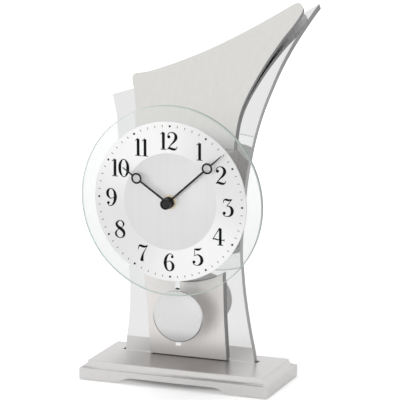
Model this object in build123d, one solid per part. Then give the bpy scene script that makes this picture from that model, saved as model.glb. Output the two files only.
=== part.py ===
"""Desk pendulum clock, in millimetres.

+X is the viewer's right, +Y points to the back and +Z up. The origin is the middle of the
footprint of the base, on the surface that the clock stands on.
"""
from build123d import *
from math import asin, atan2, cos, degrees, pi, radians, sin, sqrt
import os

os.makedirs("parts", exist_ok=True)

# General values
over = 1.0                # overrun of a cutting tool past the face that it cuts
fit_gap = 0.05            # running clearance of a pivot or an arbor in its bore
loose_gap = 0.2           # clearance of a part that drops into its place
print_t = 0.1             # thickness of a printed or punched mark

# Base: a moulded and lacquered plinth on four felt pads
foot_t = 1.0
foot_r = 7.0
foot_inset_x = 14.0
foot_inset_y = 12.0
base_w = 205.0
base_d = 93.0
base_edge_h = 11.5
cove_r = 7.0
arch_w = 128.0
arch_h = 5.5
arch_end = 20.0
slot_depth = 8.0
slot_end_gap = 3.5
base_h = base_edge_h + cove_r
base_top = foot_t + base_h

# Rear plate: a moulded board with a polished face, bent back at the top
plate_t = 8.0
plate_y = 13.0            # front face of the straight part
plate_reach = 100.0       # unit of the outline's shares across
plate_rise = 359.5        # from the base's top to the tip
bend_rise = 136.5         # where the bend starts, above the base's top
bend_r = 300.0            # radius of the front face
plate_left_shares = [(-0.752, 0), (-0.710, 0.111), (-0.701, 0.172), (-0.713, 0.278),
                     (-0.778, 0.473), (-0.871, 0.620), (-0.917, 0.670), (-1.009, 0.735)]
plate_top_shares = [(-1.009, 0.735), (-0.760, 0.757), (-0.488, 0.780), (-0.178, 0.817),
                    (0.220, 0.875), (0.580, 0.928), (0.830, 0.968), (1.006, 1.0)]
plate_right_shares = [(1.006, 1.0), (0.959, 0.973), (0.802, 0.866), (0.708, 0.777),
                      (0.632, 0.686), (0.578, 0.574), (0.536, 0.399), (0.523, 0.320),
                      (0.538, 0.242), (0.570, 0.166), (0.617, 0.088), (0.675, 0)]

# Front panel: a brushed board in two pieces, below and above the movement housing
panel_t = 5.0
panel_left_shares = [(-0.456, 0), (-0.508, 0.223), (-0.583, 0.459), (-0.698, 0.694),
                     (-0.734, 0.738), (-0.790, 0.779), (-0.803, 0.796)]
panel_top_shares = [(-0.803, 0.796), (-0.620, 0.8062), (-0.488, 0.8187), (-0.332, 0.8348),
                    (-0.178, 0.8526), (0.021, 0.878), (0.220, 0.9071), (0.389, 0.9332),
                    (0.581, 0.9656), (0.744, 0.9944), (0.995, 1.0364)]
panel_right_shares = [(0.995, 1.0364), (0.846, 0.9505), (0.758, 0.912), (0.692, 0.879),
                      (0.614, 0.837), (0.547, 0.796), (0.490, 0.757), (0.446, 0.716),
                      (0.426, 0.674), (0.424, 0.600), (0.376, 0.420), (0.350, 0.280),
                      (0.352, 0.215), (0.360, 0.133), (0.376, 0.055), (0.389, 0)]
panel_tip_r = 7.0
panel_corner_r = 4.0
lift_angle = 17.0         # bend angle past which the upper panel leaves the plate
lift_r = 365.0            # bend radius of the upper panel's back past that angle
hollow_r = 78.5           # radius of the hollow top edge of the lower panel
hollow_rise = 80.0        # lowest point of that edge, above the base's top
hollow_x = -7.5           # middle of that edge
spacer_r = 5.0
spacer_shares = [(-0.48, 0.729), (0.20, 0.793), (0.62, 0.885)]

# Movement housing between the plate and the glass
hand_rise = 176.0         # hand axis above the base's top
housing_depth = 57.0      # from the plate's straight front face to the glass
housing_half_w = 46.0
housing_up = 43.5         # top and underside of the housing, from the hand axis
housing_down = 61.0
housing_wall = 2.5
housing_corner_r = 3.0
boss_r = 3.5
boss_inset = 5.5
boss_length = 14.0
pendulum_slot_half_w = 7.5
pendulum_slot_half_d = 4.0

# Window at the back of the plate, and its cover
window_half_w = 33.0
window_low_rise = 131.0
window_high_rise = 206.0
cover_t = 2.0
cover_lap = 4.0
cover_lip_t = 1.5
cover_lip_depth = 4.0
cover_notch_r = 8.0

# Glass, dial and fixing nut
glass_r = 97.3
glass_t = 4.5
glass_bevel = 0.8
dial_r = 81.5
dial_t = 1.5
dial_bevel = 0.4
dial_centre_r = 49.4
dial_centre_t = 0.3
dot_ring_r = 76.9
hour_dot_r = 1.1
minute_dash_l = 2.0
minute_dash_w = 0.6
nut_r = 7.0
nut_t = 3.0
nut_bevel = 0.8
nut_flat_r = 6.2

# Hands and hub, at eight past ten
minute_hand_angle = 48.0
hour_hand_angle = 304.0
hand_t = 0.5
bush_r = 4.2
bush_front = 3.8          # how far the threaded bush stands in front of the dial
hour_tube_r = 2.6
minute_arbor_r = 1.7
hour_hand_gap = 2.0       # from the bush to the hour hand
minute_hand_gap = 1.6     # from the hour hand to the minute hand
tube_front = 0.6          # the hour tube in front of the hour hand
hub_cap_r = 5.5
hub_cap_t = 5.4
hub_cap_round = 1.2
minute_hand_l = 78.0
minute_ring_at = 57.6
hour_hand_l = 58.5
hour_ring_at = 40.6
ring_r = 5.6
ring_line = 1.8
hand_root_w = 2.2
hand_neck_w = 1.9
hand_tip_w = 0.8
hour_boss_r = 6.0
minute_boss_r = 5.0

# Quartz movement
washer_t = 2.8
washer_r = 12.0
case_half_w = 28.0
case_up = 36.0
case_down = 24.0
case_depth = 16.0
case_wall = 1.5
case_back_t = 1.5
battery_r = 7.25
battery_l = 50.5
battery_tip_r = 2.6
battery_tip_l = 1.2
battery_up = 26.0
contact_t = 0.5
contact_w = 9.0
nub_r = 2.5
bay_wall = 1.0
gear_t = 1.0
pinion_t = 1.4
arbor_r = 0.5
pivot_r = 0.3
pivot_l = 1.0
end_shake = 0.15
motion_module = 0.40      # cannon pinion, change wheel and setting pinion
cannon_teeth = 12
change_teeth = 36
change_pinion_teeth = 10
hour_teeth = 40
centre_module = 0.27      # centre wheel and the third wheel's pinion
centre_teeth = 60
third_pinion_teeth = 8
third_module = 0.20       # third wheel and the second wheel's pinion
third_teeth = 64
second_pinion_teeth = 8
second_teeth = 60
rotor_pinion_teeth = 6
second_bearing = 60.0     # direction of the second wheel from the third, above the horizon
rotor_bearing = -20.0     # direction of the rotor from the second wheel
rotor_mesh_gap = 0.3
rotor_r = 3.0
rotor_t = 2.2
stator_gap = 0.5
stator_t = 1.0
stator_side = 1.5
coil_r = 3.8
coil_core_r = 1.4
coil_l = 17.0
coil_flange_t = 1.0
coil_down = 16.0
knob_r = 6.5
knob_t = 3.0
knob_shaft_r = 1.2
knob_gap = 0.3
knob_notches = 18
knob_notch_r = 0.5
board_w = 18.0
board_h = 11.0
board_t = 1.0
board_x = -15.5
board_down = 15.5
chip_r = 2.5
chip_t = 0.8
crystal_r = 1.0
crystal_l = 6.0

# Pendulum and its drive
drive_half_w = 20.0
drive_depth = 20.0
drive_h = 33.5
drive_wall = 2.0
pin_down = 6.0            # pivot pin below the movement's underside
pin_r = 1.0
eye_r = 3.2
hanger_t = 2.0
hanger_w = 6.0
hanger_l = 29.0
peg_r = 1.2
magnet_r = 3.5
magnet_t = 2.4
magnet_down = 15.5
magnet_gap = 0.5
drive_coil_r = 7.0
drive_coil_hole_r = 3.0
rod_w = 5.4
rod_t = 1.0
rod_top_down = 21.0
rod_tab = 4.0
pendulum_clear = 21.9     # from the base's top to the end of the rod
bob_r = 27.0
bob_edge_t = 1.6
bob_dome = 2.6
clip_w = 11.0
clip_h = 12.0
clip_t = 1.2

# Screws
screw_r = 1.5
screw_head_r = 3.0
screw_head_t = 1.8
screw_slot_w = 0.8
spot_t = 0.3              # depth of the flat seat under a screw head
housing_screw_l = 18.0
panel_screw_bite = 3.0
base_screw_l = 14.0
base_screw_spots = [-48.0, -4.0, 40.0]

# Places that follow from the sizes
hand_z = base_top + hand_rise
bend_z = base_top + bend_rise
bend_y = plate_y + bend_r
glass_back_y = plate_y - housing_depth
glass_front_y = glass_back_y - glass_t
dial_front_y = glass_front_y - dial_t
nut_front_y = dial_front_y - nut_t
bush_front_y = dial_front_y - bush_front
hour_hand_y = bush_front_y - hour_hand_gap
minute_hand_y = hour_hand_y - hand_t - minute_hand_gap
case_front_y = glass_back_y + housing_wall + washer_t
case_inner_y = case_front_y + case_wall
case_back_y = case_front_y + case_depth
housing_top_z = hand_z + housing_up
housing_low_z = hand_z - housing_down
case_low_z = hand_z - case_down
pin_z = case_low_z - pin_down
bob_z = base_top + pendulum_clear + rod_tab + bob_r


def box(x0, x1, y0, y1, z0, z1):
    """A block between two corners."""
    return Pos((x0 + x1) / 2, (y0 + y1) / 2, (z0 + z1) / 2) * Box(x1 - x0, y1 - y0, z1 - z0)


def disc(x, z, r, y0, y1):
    """A round bar along Y."""
    face = Face(Wire(Edge.make_circle(r, Plane((x, y0, z), x_dir=(1, 0, 0), z_dir=(0, 1, 0)))))
    return extrude(face, amount=y1 - y0, dir=(0, 1, 0))


def bar_x(x0, x1, y, z, r):
    """A round bar along X."""
    face = Face(Wire(Edge.make_circle(r, Plane((x0, y, z), x_dir=(0, 1, 0), z_dir=(1, 0, 0)))))
    return extrude(face, amount=x1 - x0, dir=(1, 0, 0))


def bar_z(x, y, z0, z1, r):
    """A round bar along Z."""
    return Pos(x, y, (z0 + z1) / 2) * Cylinder(r, z1 - z0)


def flat_shape(points, y0, y1):
    """A straight-sided plate in the XZ plane, between two depths."""
    face = Face(Wire.make_polygon([(x, y0, z) for x, z in points], close=True))
    return extrude(face, amount=y1 - y0, dir=(0, 1, 0))


def export(name, shape):
    """Write one named sub-part."""
    export_step(shape, "parts/" + name + ".step")
    print(name, "solids", len(shape.solids()), "volume", round(shape.volume, 1))


# Shapes that follow the bent plate
def bend_point(angle, depth):
    """Point of the side view at a bend angle, at a depth behind the plate's front face."""
    r = bend_r - depth
    return (bend_y - r * cos(radians(angle)), bend_z + r * sin(radians(angle)))


def bend_angle(z):
    """Bend angle of the front face at a height, zero on the straight part."""
    return degrees(asin(max(z - bend_z, 0) / bend_r))


def surface_point(z):
    """Front face of the plate in the side view at a height."""
    if z <= bend_z:
        return (plate_y, z)
    return bend_point(bend_angle(z), 0)


def plate_axes(x, z):
    """Plane on the plate's front face, with its normal pointing to the back."""
    angle = radians(bend_angle(z))
    y, height = surface_point(z)
    return Plane((x, y, height), x_dir=(1, 0, 0), z_dir=(0, cos(angle), -sin(angle)))


def bent_sheet(depth_a, depth_b, z_low, z_high, half_w):
    """A sheet between two depths behind the front face, from the straight part up the bend."""
    top = bend_angle(z_high)
    y_a, y_b = plate_y + depth_a, plate_y + depth_b
    a0, a1 = (0, y_a, z_low), (0, y_a, bend_z)
    b0, b1 = (0, y_b, z_low), (0, y_b, bend_z)
    a_mid, a2 = (0, *bend_point(top / 2, depth_a)), (0, *bend_point(top, depth_a))
    b_mid, b2 = (0, *bend_point(top / 2, depth_b)), (0, *bend_point(top, depth_b))
    edges = [Edge.make_line(a0, a1), Edge.make_three_point_arc(a1, a_mid, a2),
             Edge.make_line(a2, b2), Edge.make_three_point_arc(b2, b_mid, b1),
             Edge.make_line(b1, b0), Edge.make_line(b0, a0)]
    return extrude(Face(Wire(edges)), amount=half_w, dir=(1, 0, 0), both=True)


def trimmed(edges, outline, depth):
    """Sheet of the given thickness on the side-view edges, cut to an outline seen from the front.

    Its edges stay square to the bent surface. A positive depth goes to the back.
    """
    width = base_w + 2 * over
    cutter = extrude(outline, amount=bend_r, dir=(0, 1, 0), both=True)
    solid = None
    for edge in edges:
        surface = Face.extrude(edge.moved(Location((-width / 2, 0, 0))), (width, 0, 0))
        for face in (surface & cutter).faces():
            piece = Solid.thicken(face, depth, normal_override=(0, 1, 0))
            solid = piece if solid is None else solid + piece
    return solid


def front_points(shares):
    """Outline points seen from the front, from shares of the plate's reach and rise."""
    return [(x * plate_reach, 0, base_top + z * plate_rise) for x, z in shares]


def curve(shares):
    """A smooth outline edge through the shares."""
    return Edge.make_spline([Vector(*p) for p in front_points(shares)])


# Base
def make_base():
    body = box(-base_w / 2, base_w / 2, -base_d / 2, base_d / 2, foot_t, base_top)
    for side in (-1, 1):
        body -= bar_x(-base_w / 2 - over, base_w / 2 + over, side * base_d / 2, base_top, cove_r)
        body -= disc(side * base_w / 2, base_top, cove_r, -base_d / 2 - over, base_d / 2 + over)
    # The arch below, with an ogee at each end
    half, y0 = arch_w / 2, -base_d / 2 - over
    low, high = foot_t, foot_t + arch_h
    turn = half - arch_end
    middle = (half + turn) / 2
    under = low - over

    def ogee(side):
        points = [(side * half, y0, low), (side * middle, y0, low + arch_h * 0.15),
                  (side * middle, y0, high), (side * turn, y0, high)]
        return Edge.make_bezier(*points)

    edges = [Edge.make_line((-half, y0, under), (-half, y0, low)), ogee(-1),
             Edge.make_line((-turn, y0, high), (turn, y0, high)), ogee(1),
             Edge.make_line((half, y0, low), (half, y0, under)),
             Edge.make_line((half, y0, under), (-half, y0, under))]
    arch = extrude(Face(Wire(edges)), amount=base_d + 2 * over, dir=(0, 1, 0))
    body -= arch
    # The slot that the plate stands in
    left = plate_left_shares[0][0] * plate_reach - slot_end_gap
    right = plate_right_shares[-1][0] * plate_reach + slot_end_gap
    body -= box(left, right, plate_y, plate_y + plate_t, base_top - slot_depth, base_top + over)
    # Counterbored screw holes up into the slot
    for x in base_screw_spots:
        y = plate_y + plate_t / 2
        body -= bar_z(x, y, high - over, base_top, screw_r + fit_gap)
        body -= bar_z(x, y, high - over, high + screw_head_t, screw_head_r + loose_gap)
    return body


def make_feet():
    x, y = base_w / 2 - foot_inset_x, base_d / 2 - foot_inset_y
    return Compound([bar_z(sx * x, sy * y, 0, foot_t, foot_r) for sx in (-1, 1) for sy in (-1, 1)])


def screw(plane, length):
    """Pan-head screw: the head's seat lies on the plane and the shank runs along -Z of it."""
    head = Pos(0, 0, screw_head_t / 2) * Cylinder(screw_head_r, screw_head_t)
    slot = Pos(0, 0, screw_head_t) * Box(2 * screw_head_r + over, screw_slot_w, screw_head_t)
    shank = Pos(0, 0, -length / 2) * Cylinder(screw_r, length)
    return plane * (head - slot + shank)


def make_base_screws():
    seat_z = foot_t + arch_h + screw_head_t
    y = plate_y + plate_t / 2
    return Compound([screw(Plane((x, y, seat_z), x_dir=(1, 0, 0), z_dir=(0, 0, -1)), base_screw_l)
                     for x in base_screw_spots])


# Rear plate
def housing_screw_places():
    """Screw places across and in height, in the corners of the housing."""
    x = housing_half_w - boss_inset
    return [(sx * x, z) for sx in (-1, 1)
            for z in (housing_low_z + boss_inset, housing_top_z - boss_inset)]


def spacer_places():
    return [(x, z) for x, y, z in front_points(spacer_shares)]


def make_plate():
    low = base_top - slot_depth
    left, right = front_points(plate_left_shares), front_points(plate_right_shares)
    l0, r0 = left[0], right[-1]
    l_foot, r_foot = (l0[0], 0, low), (r0[0], 0, low)
    outline = Face(Wire([Edge.make_line(l_foot, l0), curve(plate_left_shares),
                         curve(plate_top_shares), curve(plate_right_shares),
                         Edge.make_line(r0, r_foot), Edge.make_line(r_foot, l_foot)]))
    top = degrees(asin((plate_rise - bend_rise) / bend_r)) + over
    flat = Edge.make_line((0, plate_y, low - over), (0, plate_y, bend_z))
    bend = Edge.make_three_point_arc((0, plate_y, bend_z), (0, *bend_point(top / 2, 0)),
                                     (0, *bend_point(top, 0)))
    plate = trimmed([flat, bend], outline, plate_t)
    # Window behind the housing, and the screw holes
    plate -= box(-window_half_w, window_half_w, plate_y - over, bend_y,
                 base_top + window_low_rise, base_top + window_high_rise)
    for x, z in housing_screw_places() + spacer_places():
        hole = Pos(0, 0, plate_t / 2) * Cylinder(screw_r + fit_gap, plate_t + 2 * over)
        seat = Pos(0, 0, plate_t - spot_t + over / 2) * Cylinder(screw_head_r + loose_gap, over)
        plate -= plate_axes(x, z) * (hole + seat)
    for x in base_screw_spots:
        seat_z = foot_t + arch_h + screw_head_t
        plate -= bar_z(x, plate_y + plate_t / 2, low - over, seat_z + base_screw_l, screw_r)
    return plate


def behind_plate():
    """All the space behind the plate's front face, to cut other parts against it."""
    top = bend_angle(base_top + plate_rise)
    far = bend_y
    a0, a1 = (0, plate_y, foot_t), (0, plate_y, bend_z)
    a2 = (0, *bend_point(top, 0))
    edges = [Edge.make_line(a0, a1),
             Edge.make_three_point_arc(a1, (0, *bend_point(top / 2, 0)), a2),
             Edge.make_line(a2, (0, far, a2[2])), Edge.make_line((0, far, a2[2]), (0, far, foot_t)),
             Edge.make_line((0, far, foot_t), a0)]
    return extrude(Face(Wire(edges)), amount=base_w, dir=(1, 0, 0), both=True)


# Front panel
def lift_centre():
    """Centre of the upper panel's larger bend, in the side view."""
    y, z = bend_point(lift_angle, 0)
    return (y + lift_r * cos(radians(lift_angle)), z - lift_r * sin(radians(lift_angle)))


def lift_point(angle, thickness):
    """Point in front of the upper panel's back face at a bend angle past the lift angle."""
    y, z = lift_centre()
    r = lift_r + thickness
    return (y - r * cos(radians(angle)), z + r * sin(radians(angle)))


def panel_outline():
    edges = [curve(panel_left_shares), curve(panel_top_shares), curve(panel_right_shares)]
    foot = Edge.make_line(edges[2] @ 1, edges[0] @ 0)
    return Face(Wire(edges + [foot]))


def make_lower_panel():
    outline = panel_outline()
    sheet = extrude(outline.moved(Location((0, plate_y - panel_t, 0))), amount=panel_t, dir=(0, 1, 0))
    hollow_z = base_top + hollow_rise + hollow_r
    y0, y1 = plate_y - panel_t - over, plate_y + over
    sheet -= disc(hollow_x, hollow_z, hollow_r, y0, y1)
    sheet -= box(-base_w, base_w, y0, y1, hollow_z, base_top + 2 * plate_rise)
    corner = [s for s in sheet.solids() if s.bounding_box().min.Z < base_top + hollow_rise]
    return corner[0]


def make_upper_panel():
    outline = panel_outline()
    cut_z = housing_top_z + loose_gap
    low = cut_z - panel_t
    keep = Face(Wire.make_polygon([(-base_w, 0, low), (base_w, 0, low),
                                   (base_w, 0, low + plate_rise), (-base_w, 0, low + plate_rise)],
                                  close=True))
    outline = (outline & keep).faces()[0]
    tip = outline.vertices().sort_by(Axis.X)[-1]
    corner = outline.vertices().sort_by(Axis.X)[0]
    outline = fillet_outline(outline, tip, panel_tip_r)
    corner = outline.vertices().sort_by(Axis.X)[0]
    outline = fillet_outline(outline, corner, panel_corner_r)
    start = bend_angle(low - over)
    rest = Edge.make_three_point_arc((0, *bend_point(start, -panel_t)),
                                     (0, *bend_point((start + lift_angle) / 2, -panel_t)),
                                     (0, *bend_point(lift_angle, -panel_t)))
    far = degrees(asin((plate_rise * panel_right_shares[0][1] - bend_rise) / bend_r))
    lift = Edge.make_three_point_arc((0, *lift_point(lift_angle, panel_t)),
                                     (0, *lift_point((lift_angle + far) / 2, panel_t)),
                                     (0, *lift_point(far, panel_t)))
    panel = trimmed([rest, lift], outline, panel_t)
    panel -= box(-base_w, base_w, -base_w, base_w, low - panel_t, cut_z)
    for x, z in spacer_places():
        length = spacer_gap(z) + panel_screw_bite
        panel -= plate_axes(x, z) * Pos(0, 0, -length / 2) * Cylinder(screw_r, length)
    return panel


def fillet_outline(face, vertex, radius):
    """Round one corner of a flat outline."""
    return face.fillet_2d(radius, [vertex])


def spacer_gap(z):
    """Distance from the plate to the upper panel's back, square to the plate, at a height."""
    angle = radians(bend_angle(z))
    y, height = surface_point(z)
    cy, cz = lift_centre()
    ey, ez = y - cy, height - cz
    along = -(ey * cos(angle) - ez * sin(angle))
    inside = lift_r ** 2 - (ey ** 2 + ez ** 2) + along ** 2
    return sqrt(inside) - along


def panel_space():
    """All the space from the upper panel's back to its front, to cut the spacers against it."""
    far = 3 * lift_angle
    a0, a2 = (0, *lift_point(lift_angle, 0)), (0, *lift_point(far, 0))
    b0, b2 = (0, *lift_point(lift_angle, panel_t)), (0, *lift_point(far, panel_t))
    edges = [Edge.make_three_point_arc(a0, (0, *lift_point(2 * lift_angle, 0)), a2),
             Edge.make_line(a2, b2),
             Edge.make_three_point_arc(b2, (0, *lift_point(2 * lift_angle, panel_t)), b0),
             Edge.make_line(b0, a0)]
    return extrude(Face(Wire(edges)), amount=base_w, dir=(1, 0, 0), both=True)


def make_spacers():
    parts = []
    for x, z in spacer_places():
        length = spacer_gap(z) + panel_t / 2
        ring = Cylinder(spacer_r, length + over) - Cylinder(screw_r + fit_gap, length + 3 * over)
        ring = plate_axes(x, z) * Pos(0, 0, (over - length) / 2) * ring
        parts += (ring - behind_plate() - panel_space()).solids()
    return Compound(parts)


def make_panel_screws():
    parts = []
    for x, z in spacer_places():
        length = plate_t - spot_t + spacer_gap(z) + panel_screw_bite
        parts.append(screw(plate_axes(x, z) * Pos(0, 0, plate_t - spot_t) * Plane.XY, length))
    return Compound(parts)


# Movement housing
def make_housing():
    y0, y1 = glass_back_y, plate_y + plate_t
    w, low, high = housing_half_w, housing_low_z, housing_top_z
    shell = box(-w, w, y0, bend_y / 2, low, high)
    shell = fillet(shell.edges().filter_by(Axis.Y), housing_corner_r)
    envelope = shell
    inner = w - housing_wall
    shell -= box(-inner, inner, y0 + housing_wall, bend_y, low + housing_wall, high - housing_wall)
    for x, z in housing_screw_places():
        seat = plate_axes(x, z)
        post = Pos(0, 0, -boss_length / 2 + over) * Cylinder(boss_r, boss_length + 2 * over)
        web_x = (x + (w - housing_wall / 2) * (1 if x > 0 else -1)) / 2
        half_web = abs(w - housing_wall / 2 - abs(x)) / 2
        web = Pos(web_x - x, 0, -boss_length / 2 + over) * Box(2 * half_web, housing_wall,
                                                               boss_length + 2 * over)
        shell += (seat * (post + web)) & envelope
    shell -= behind_plate()
    for x, z in housing_screw_places():
        bite = housing_screw_l - plate_t + spot_t
        shell -= plate_axes(x, z) * Pos(0, 0, (over - bite) / 2) * Cylinder(screw_r, bite + over)
    shell -= disc(0, hand_z, bush_r + loose_gap, y0 - over, y0 + housing_wall + over)
    mid_y = pendulum_y()
    shell -= box(-pendulum_slot_half_w, pendulum_slot_half_w, mid_y - pendulum_slot_half_d,
                 mid_y + pendulum_slot_half_d, low - over, low + housing_wall + over)
    return shell


def make_housing_screws():
    parts = [screw(plate_axes(x, z) * Pos(0, 0, plate_t - spot_t) * Plane.XY, housing_screw_l)
             for x, z in housing_screw_places()]
    return Compound(parts)


def make_rear_cover():
    low, high = base_top + window_low_rise, base_top + window_high_rise
    cover = bent_sheet(plate_t, plate_t + cover_t, low - cover_lap, high + cover_lap,
                       window_half_w + cover_lap)
    half = window_half_w - loose_gap
    lip = bent_sheet(plate_t - cover_lip_depth, plate_t, low - over, high + over, half)
    lip = lip & box(-half, half, 0, bend_y, low + loose_gap, high - loose_gap)
    inner = half - cover_lip_t
    lip -= box(-inner, inner, 0, bend_y, low + loose_gap + cover_lip_t,
               high - loose_gap - cover_lip_t)
    cover += lip
    cover -= disc(0, low - cover_lap, cover_notch_r, plate_y + plate_t - over, bend_y)
    return cover


# Glass and dial
def make_glass():
    glass = disc(0, hand_z, glass_r, glass_front_y, glass_back_y)
    glass = chamfer(glass.edges(), glass_bevel)
    return glass - disc(0, hand_z, bush_r + loose_gap, glass_front_y - over, glass_back_y + over)


def make_dial():
    dial = disc(0, hand_z, dial_r, dial_front_y, glass_front_y)
    rim = dial.edges().sort_by(Axis.Y)[0]
    dial = chamfer(rim, dial_bevel)
    dial -= disc(0, hand_z, dial_centre_r, dial_front_y - over, dial_front_y + dial_centre_t)
    return dial - disc(0, hand_z, bush_r + loose_gap, dial_front_y, glass_front_y + over)


def make_dial_centre():
    inlay = disc(0, hand_z, dial_centre_r, dial_front_y, dial_front_y + dial_centre_t)
    return inlay - disc(0, hand_z, bush_r + loose_gap, dial_front_y - over, glass_front_y)


def clock_direction(minute):
    """Unit direction across and up of a minute mark."""
    turn = minute * pi / 30
    return sin(turn), cos(turn)


def make_dial_marks():
    parts = []
    y0, y1 = dial_front_y - print_t, dial_front_y
    for minute in range(60):
        dx, dz = clock_direction(minute)
        x, z = dot_ring_r * dx, hand_z + dot_ring_r * dz
        if minute % 5 == 0:
            parts.append(disc(x, z, hour_dot_r, y0, y1))
            continue
        half_l, half_w = minute_dash_l / 2, minute_dash_w / 2
        corners = [(x + a * half_l * dx + b * half_w * dz, z + a * half_l * dz - b * half_w * dx)
                   for a, b in ((-1, -1), (1, -1), (1, 1), (-1, 1))]
        parts.append(flat_shape(corners, y0, y1))
    return Compound(parts)


def make_nut():
    nut = disc(0, hand_z, nut_r, nut_front_y, dial_front_y)
    nut = chamfer(nut.edges().sort_by(Axis.Y)[0], nut_bevel)
    for side in (-1, 1):
        x = side * (nut_flat_r + nut_r)
        nut -= box(x - nut_r, x + nut_r, nut_front_y - over, (nut_front_y + dial_front_y) / 2,
                   hand_z - nut_r, hand_z + nut_r)
    return nut - disc(0, hand_z, bush_r + fit_gap / 2, nut_front_y - over, dial_front_y + over)


# Hands
def hand_shape(length, ring_at, eye_outer_r, bore_r, angle, y_back):
    """A baton hand with an open ring before its tip, at an angle clockwise from twelve."""
    y0, y1 = y_back - hand_t, y_back
    dx, dz = sin(radians(angle)), cos(radians(angle))

    def place(across, along):
        return (along * dx + across * dz, hand_z + along * dz - across * dx)

    def taper(w0, w1, l0, l1):
        points = [place(-w0 / 2, l0), place(w0 / 2, l0), place(w1 / 2, l1), place(-w1 / 2, l1)]
        return flat_shape(points, y0, y1)

    ring_x, ring_z = place(0, ring_at)
    hole_r = ring_r - ring_line
    shape = disc(0, hand_z, eye_outer_r, y0, y1)
    shape += taper(hand_root_w, hand_neck_w, 0, ring_at - hole_r - ring_line / 2)
    shape += disc(ring_x, ring_z, ring_r, y0, y1) - disc(ring_x, ring_z, hole_r, y0 - over, y1 + over)
    shape += taper(hand_neck_w, hand_tip_w, ring_at + hole_r + ring_line / 2, length)
    return shape - disc(0, hand_z, bore_r, y0 - over, y1 + over)


def make_hour_hand():
    return hand_shape(hour_hand_l, hour_ring_at, hour_boss_r, hour_tube_r, hour_hand_angle,
                      hour_hand_y)


def make_minute_hand():
    return hand_shape(minute_hand_l, minute_ring_at, minute_boss_r, minute_arbor_r,
                      minute_hand_angle, minute_hand_y)


def make_hub_cap():
    front = minute_hand_y - hand_t - hub_cap_t
    cap = disc(0, hand_z, hub_cap_r, front, minute_hand_y - hand_t)
    cap = fillet(cap.edges().sort_by(Axis.Y)[0], hub_cap_round)
    return cap - disc(0, hand_z, minute_arbor_r, minute_hand_y - hand_t - hub_cap_t / 2,
                      minute_hand_y)


# Gears. A wheel's first tooth points in its own direction, counted from +X towards +Z.
def gear(teeth, module, r_bore, centre, y0, thickness, first):
    x, z = centre
    r_pitch = teeth * module / 2
    r_root, r_tip = r_pitch - 1.25 * module, r_pitch + 0.85 * module
    pitch = 2 * pi / teeth
    points = []
    for k in range(teeth):
        middle = radians(first) + k * pitch
        for share, r in ((-0.27, r_root), (-0.11, r_tip), (0.11, r_tip), (0.27, r_root)):
            turn = middle + share * pitch
            points.append((x + r * cos(turn), z + r * sin(turn)))
    wheel = flat_shape(points, y0, y0 + thickness)
    if r_bore:
        wheel -= disc(x, z, r_bore, y0 - over, y0 + thickness + over)
    return wheel


def meshing(first_a, teeth_a, centre_a, teeth_b, centre_b):
    """Direction of wheel B's first tooth, so that it meshes with wheel A."""
    line = degrees(atan2(centre_b[1] - centre_a[1], centre_b[0] - centre_a[0]))
    share = (line - first_a) / (360 / teeth_a)
    return line + 180 - (360 / teeth_b) * (0.5 - share)


def mesh_distance(teeth_a, teeth_b, module):
    return module * (teeth_a + teeth_b) / 2


def polar(centre, distance, bearing):
    turn = radians(bearing)
    return (centre[0] + distance * cos(turn), centre[1] + distance * sin(turn))


def arbor(centre, r, y_front=None, y_back=None):
    """Turned arbor with a thin pivot at each end that runs in the case."""
    x, z = centre
    y0 = case_inner_y + end_shake if y_front is None else y_front
    y1 = case_back_y - end_shake if y_back is None else y_back
    pivot = pivot_l - end_shake
    shape = disc(x, z, r, y0, y1)
    if y_front is None:
        shape += disc(x, z, pivot_r, y0 - pivot, y0)
    if y_back is None:
        shape += disc(x, z, pivot_r, y1, y1 + pivot)
    return shape


hand_centre = (0, hand_z)
motion_distance = mesh_distance(cannon_teeth, change_teeth, motion_module)
hour_module = 2 * motion_distance / (hour_teeth + change_pinion_teeth)
change_centre = polar(hand_centre, motion_distance, 180)
setting_centre = polar(change_centre, motion_distance, 180)
third_centre = polar(hand_centre, mesh_distance(centre_teeth, third_pinion_teeth, centre_module), 0)
second_centre = polar(third_centre, mesh_distance(third_teeth, second_pinion_teeth, third_module),
                      second_bearing)
rotor_distance = mesh_distance(second_teeth, rotor_pinion_teeth, third_module) + 2 * rotor_mesh_gap
rotor_centre = polar(second_centre, rotor_distance, rotor_bearing)

# Depths of the wheels, one step apart, counted from the front of the case
hour_wheel_y = case_inner_y + 2 * end_shake
cannon_y = hour_wheel_y + gear_t + pinion_t / 3
centre_wheel_y = cannon_y + pinion_t + pinion_t / 2
third_wheel_y = centre_wheel_y + gear_t + pinion_t / 2
second_wheel_y = third_wheel_y + gear_t + pinion_t / 2
rotor_y = second_wheel_y + pinion_t

change_first = meshing(90, cannon_teeth, hand_centre, change_teeth, change_centre)
setting_first = meshing(change_first, change_teeth, change_centre, cannon_teeth, setting_centre)
hour_first = meshing(90, change_pinion_teeth, change_centre, hour_teeth, hand_centre)
third_first = meshing(90, centre_teeth, hand_centre, third_pinion_teeth, third_centre)
second_first = meshing(90, third_teeth, third_centre, second_pinion_teeth, second_centre)


def make_minute_arbor():
    front = minute_hand_y - hand_t - hub_cap_t / 2 + loose_gap
    shape = arbor(hand_centre, minute_arbor_r, y_front=front)
    shape += gear(cannon_teeth, motion_module, 0, hand_centre, cannon_y, pinion_t, 90)
    return shape


def make_hour_wheel():
    wheel = gear(hour_teeth, hour_module, 0, hand_centre, hour_wheel_y, gear_t, hour_first)
    wheel += disc(*hand_centre, hour_tube_r, hour_hand_y - hand_t - tube_front, hour_wheel_y + gear_t)
    return wheel - disc(*hand_centre, minute_arbor_r + fit_gap, hour_hand_y - hand_t - tube_front - over,
                        hour_wheel_y + gear_t + over)


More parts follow.
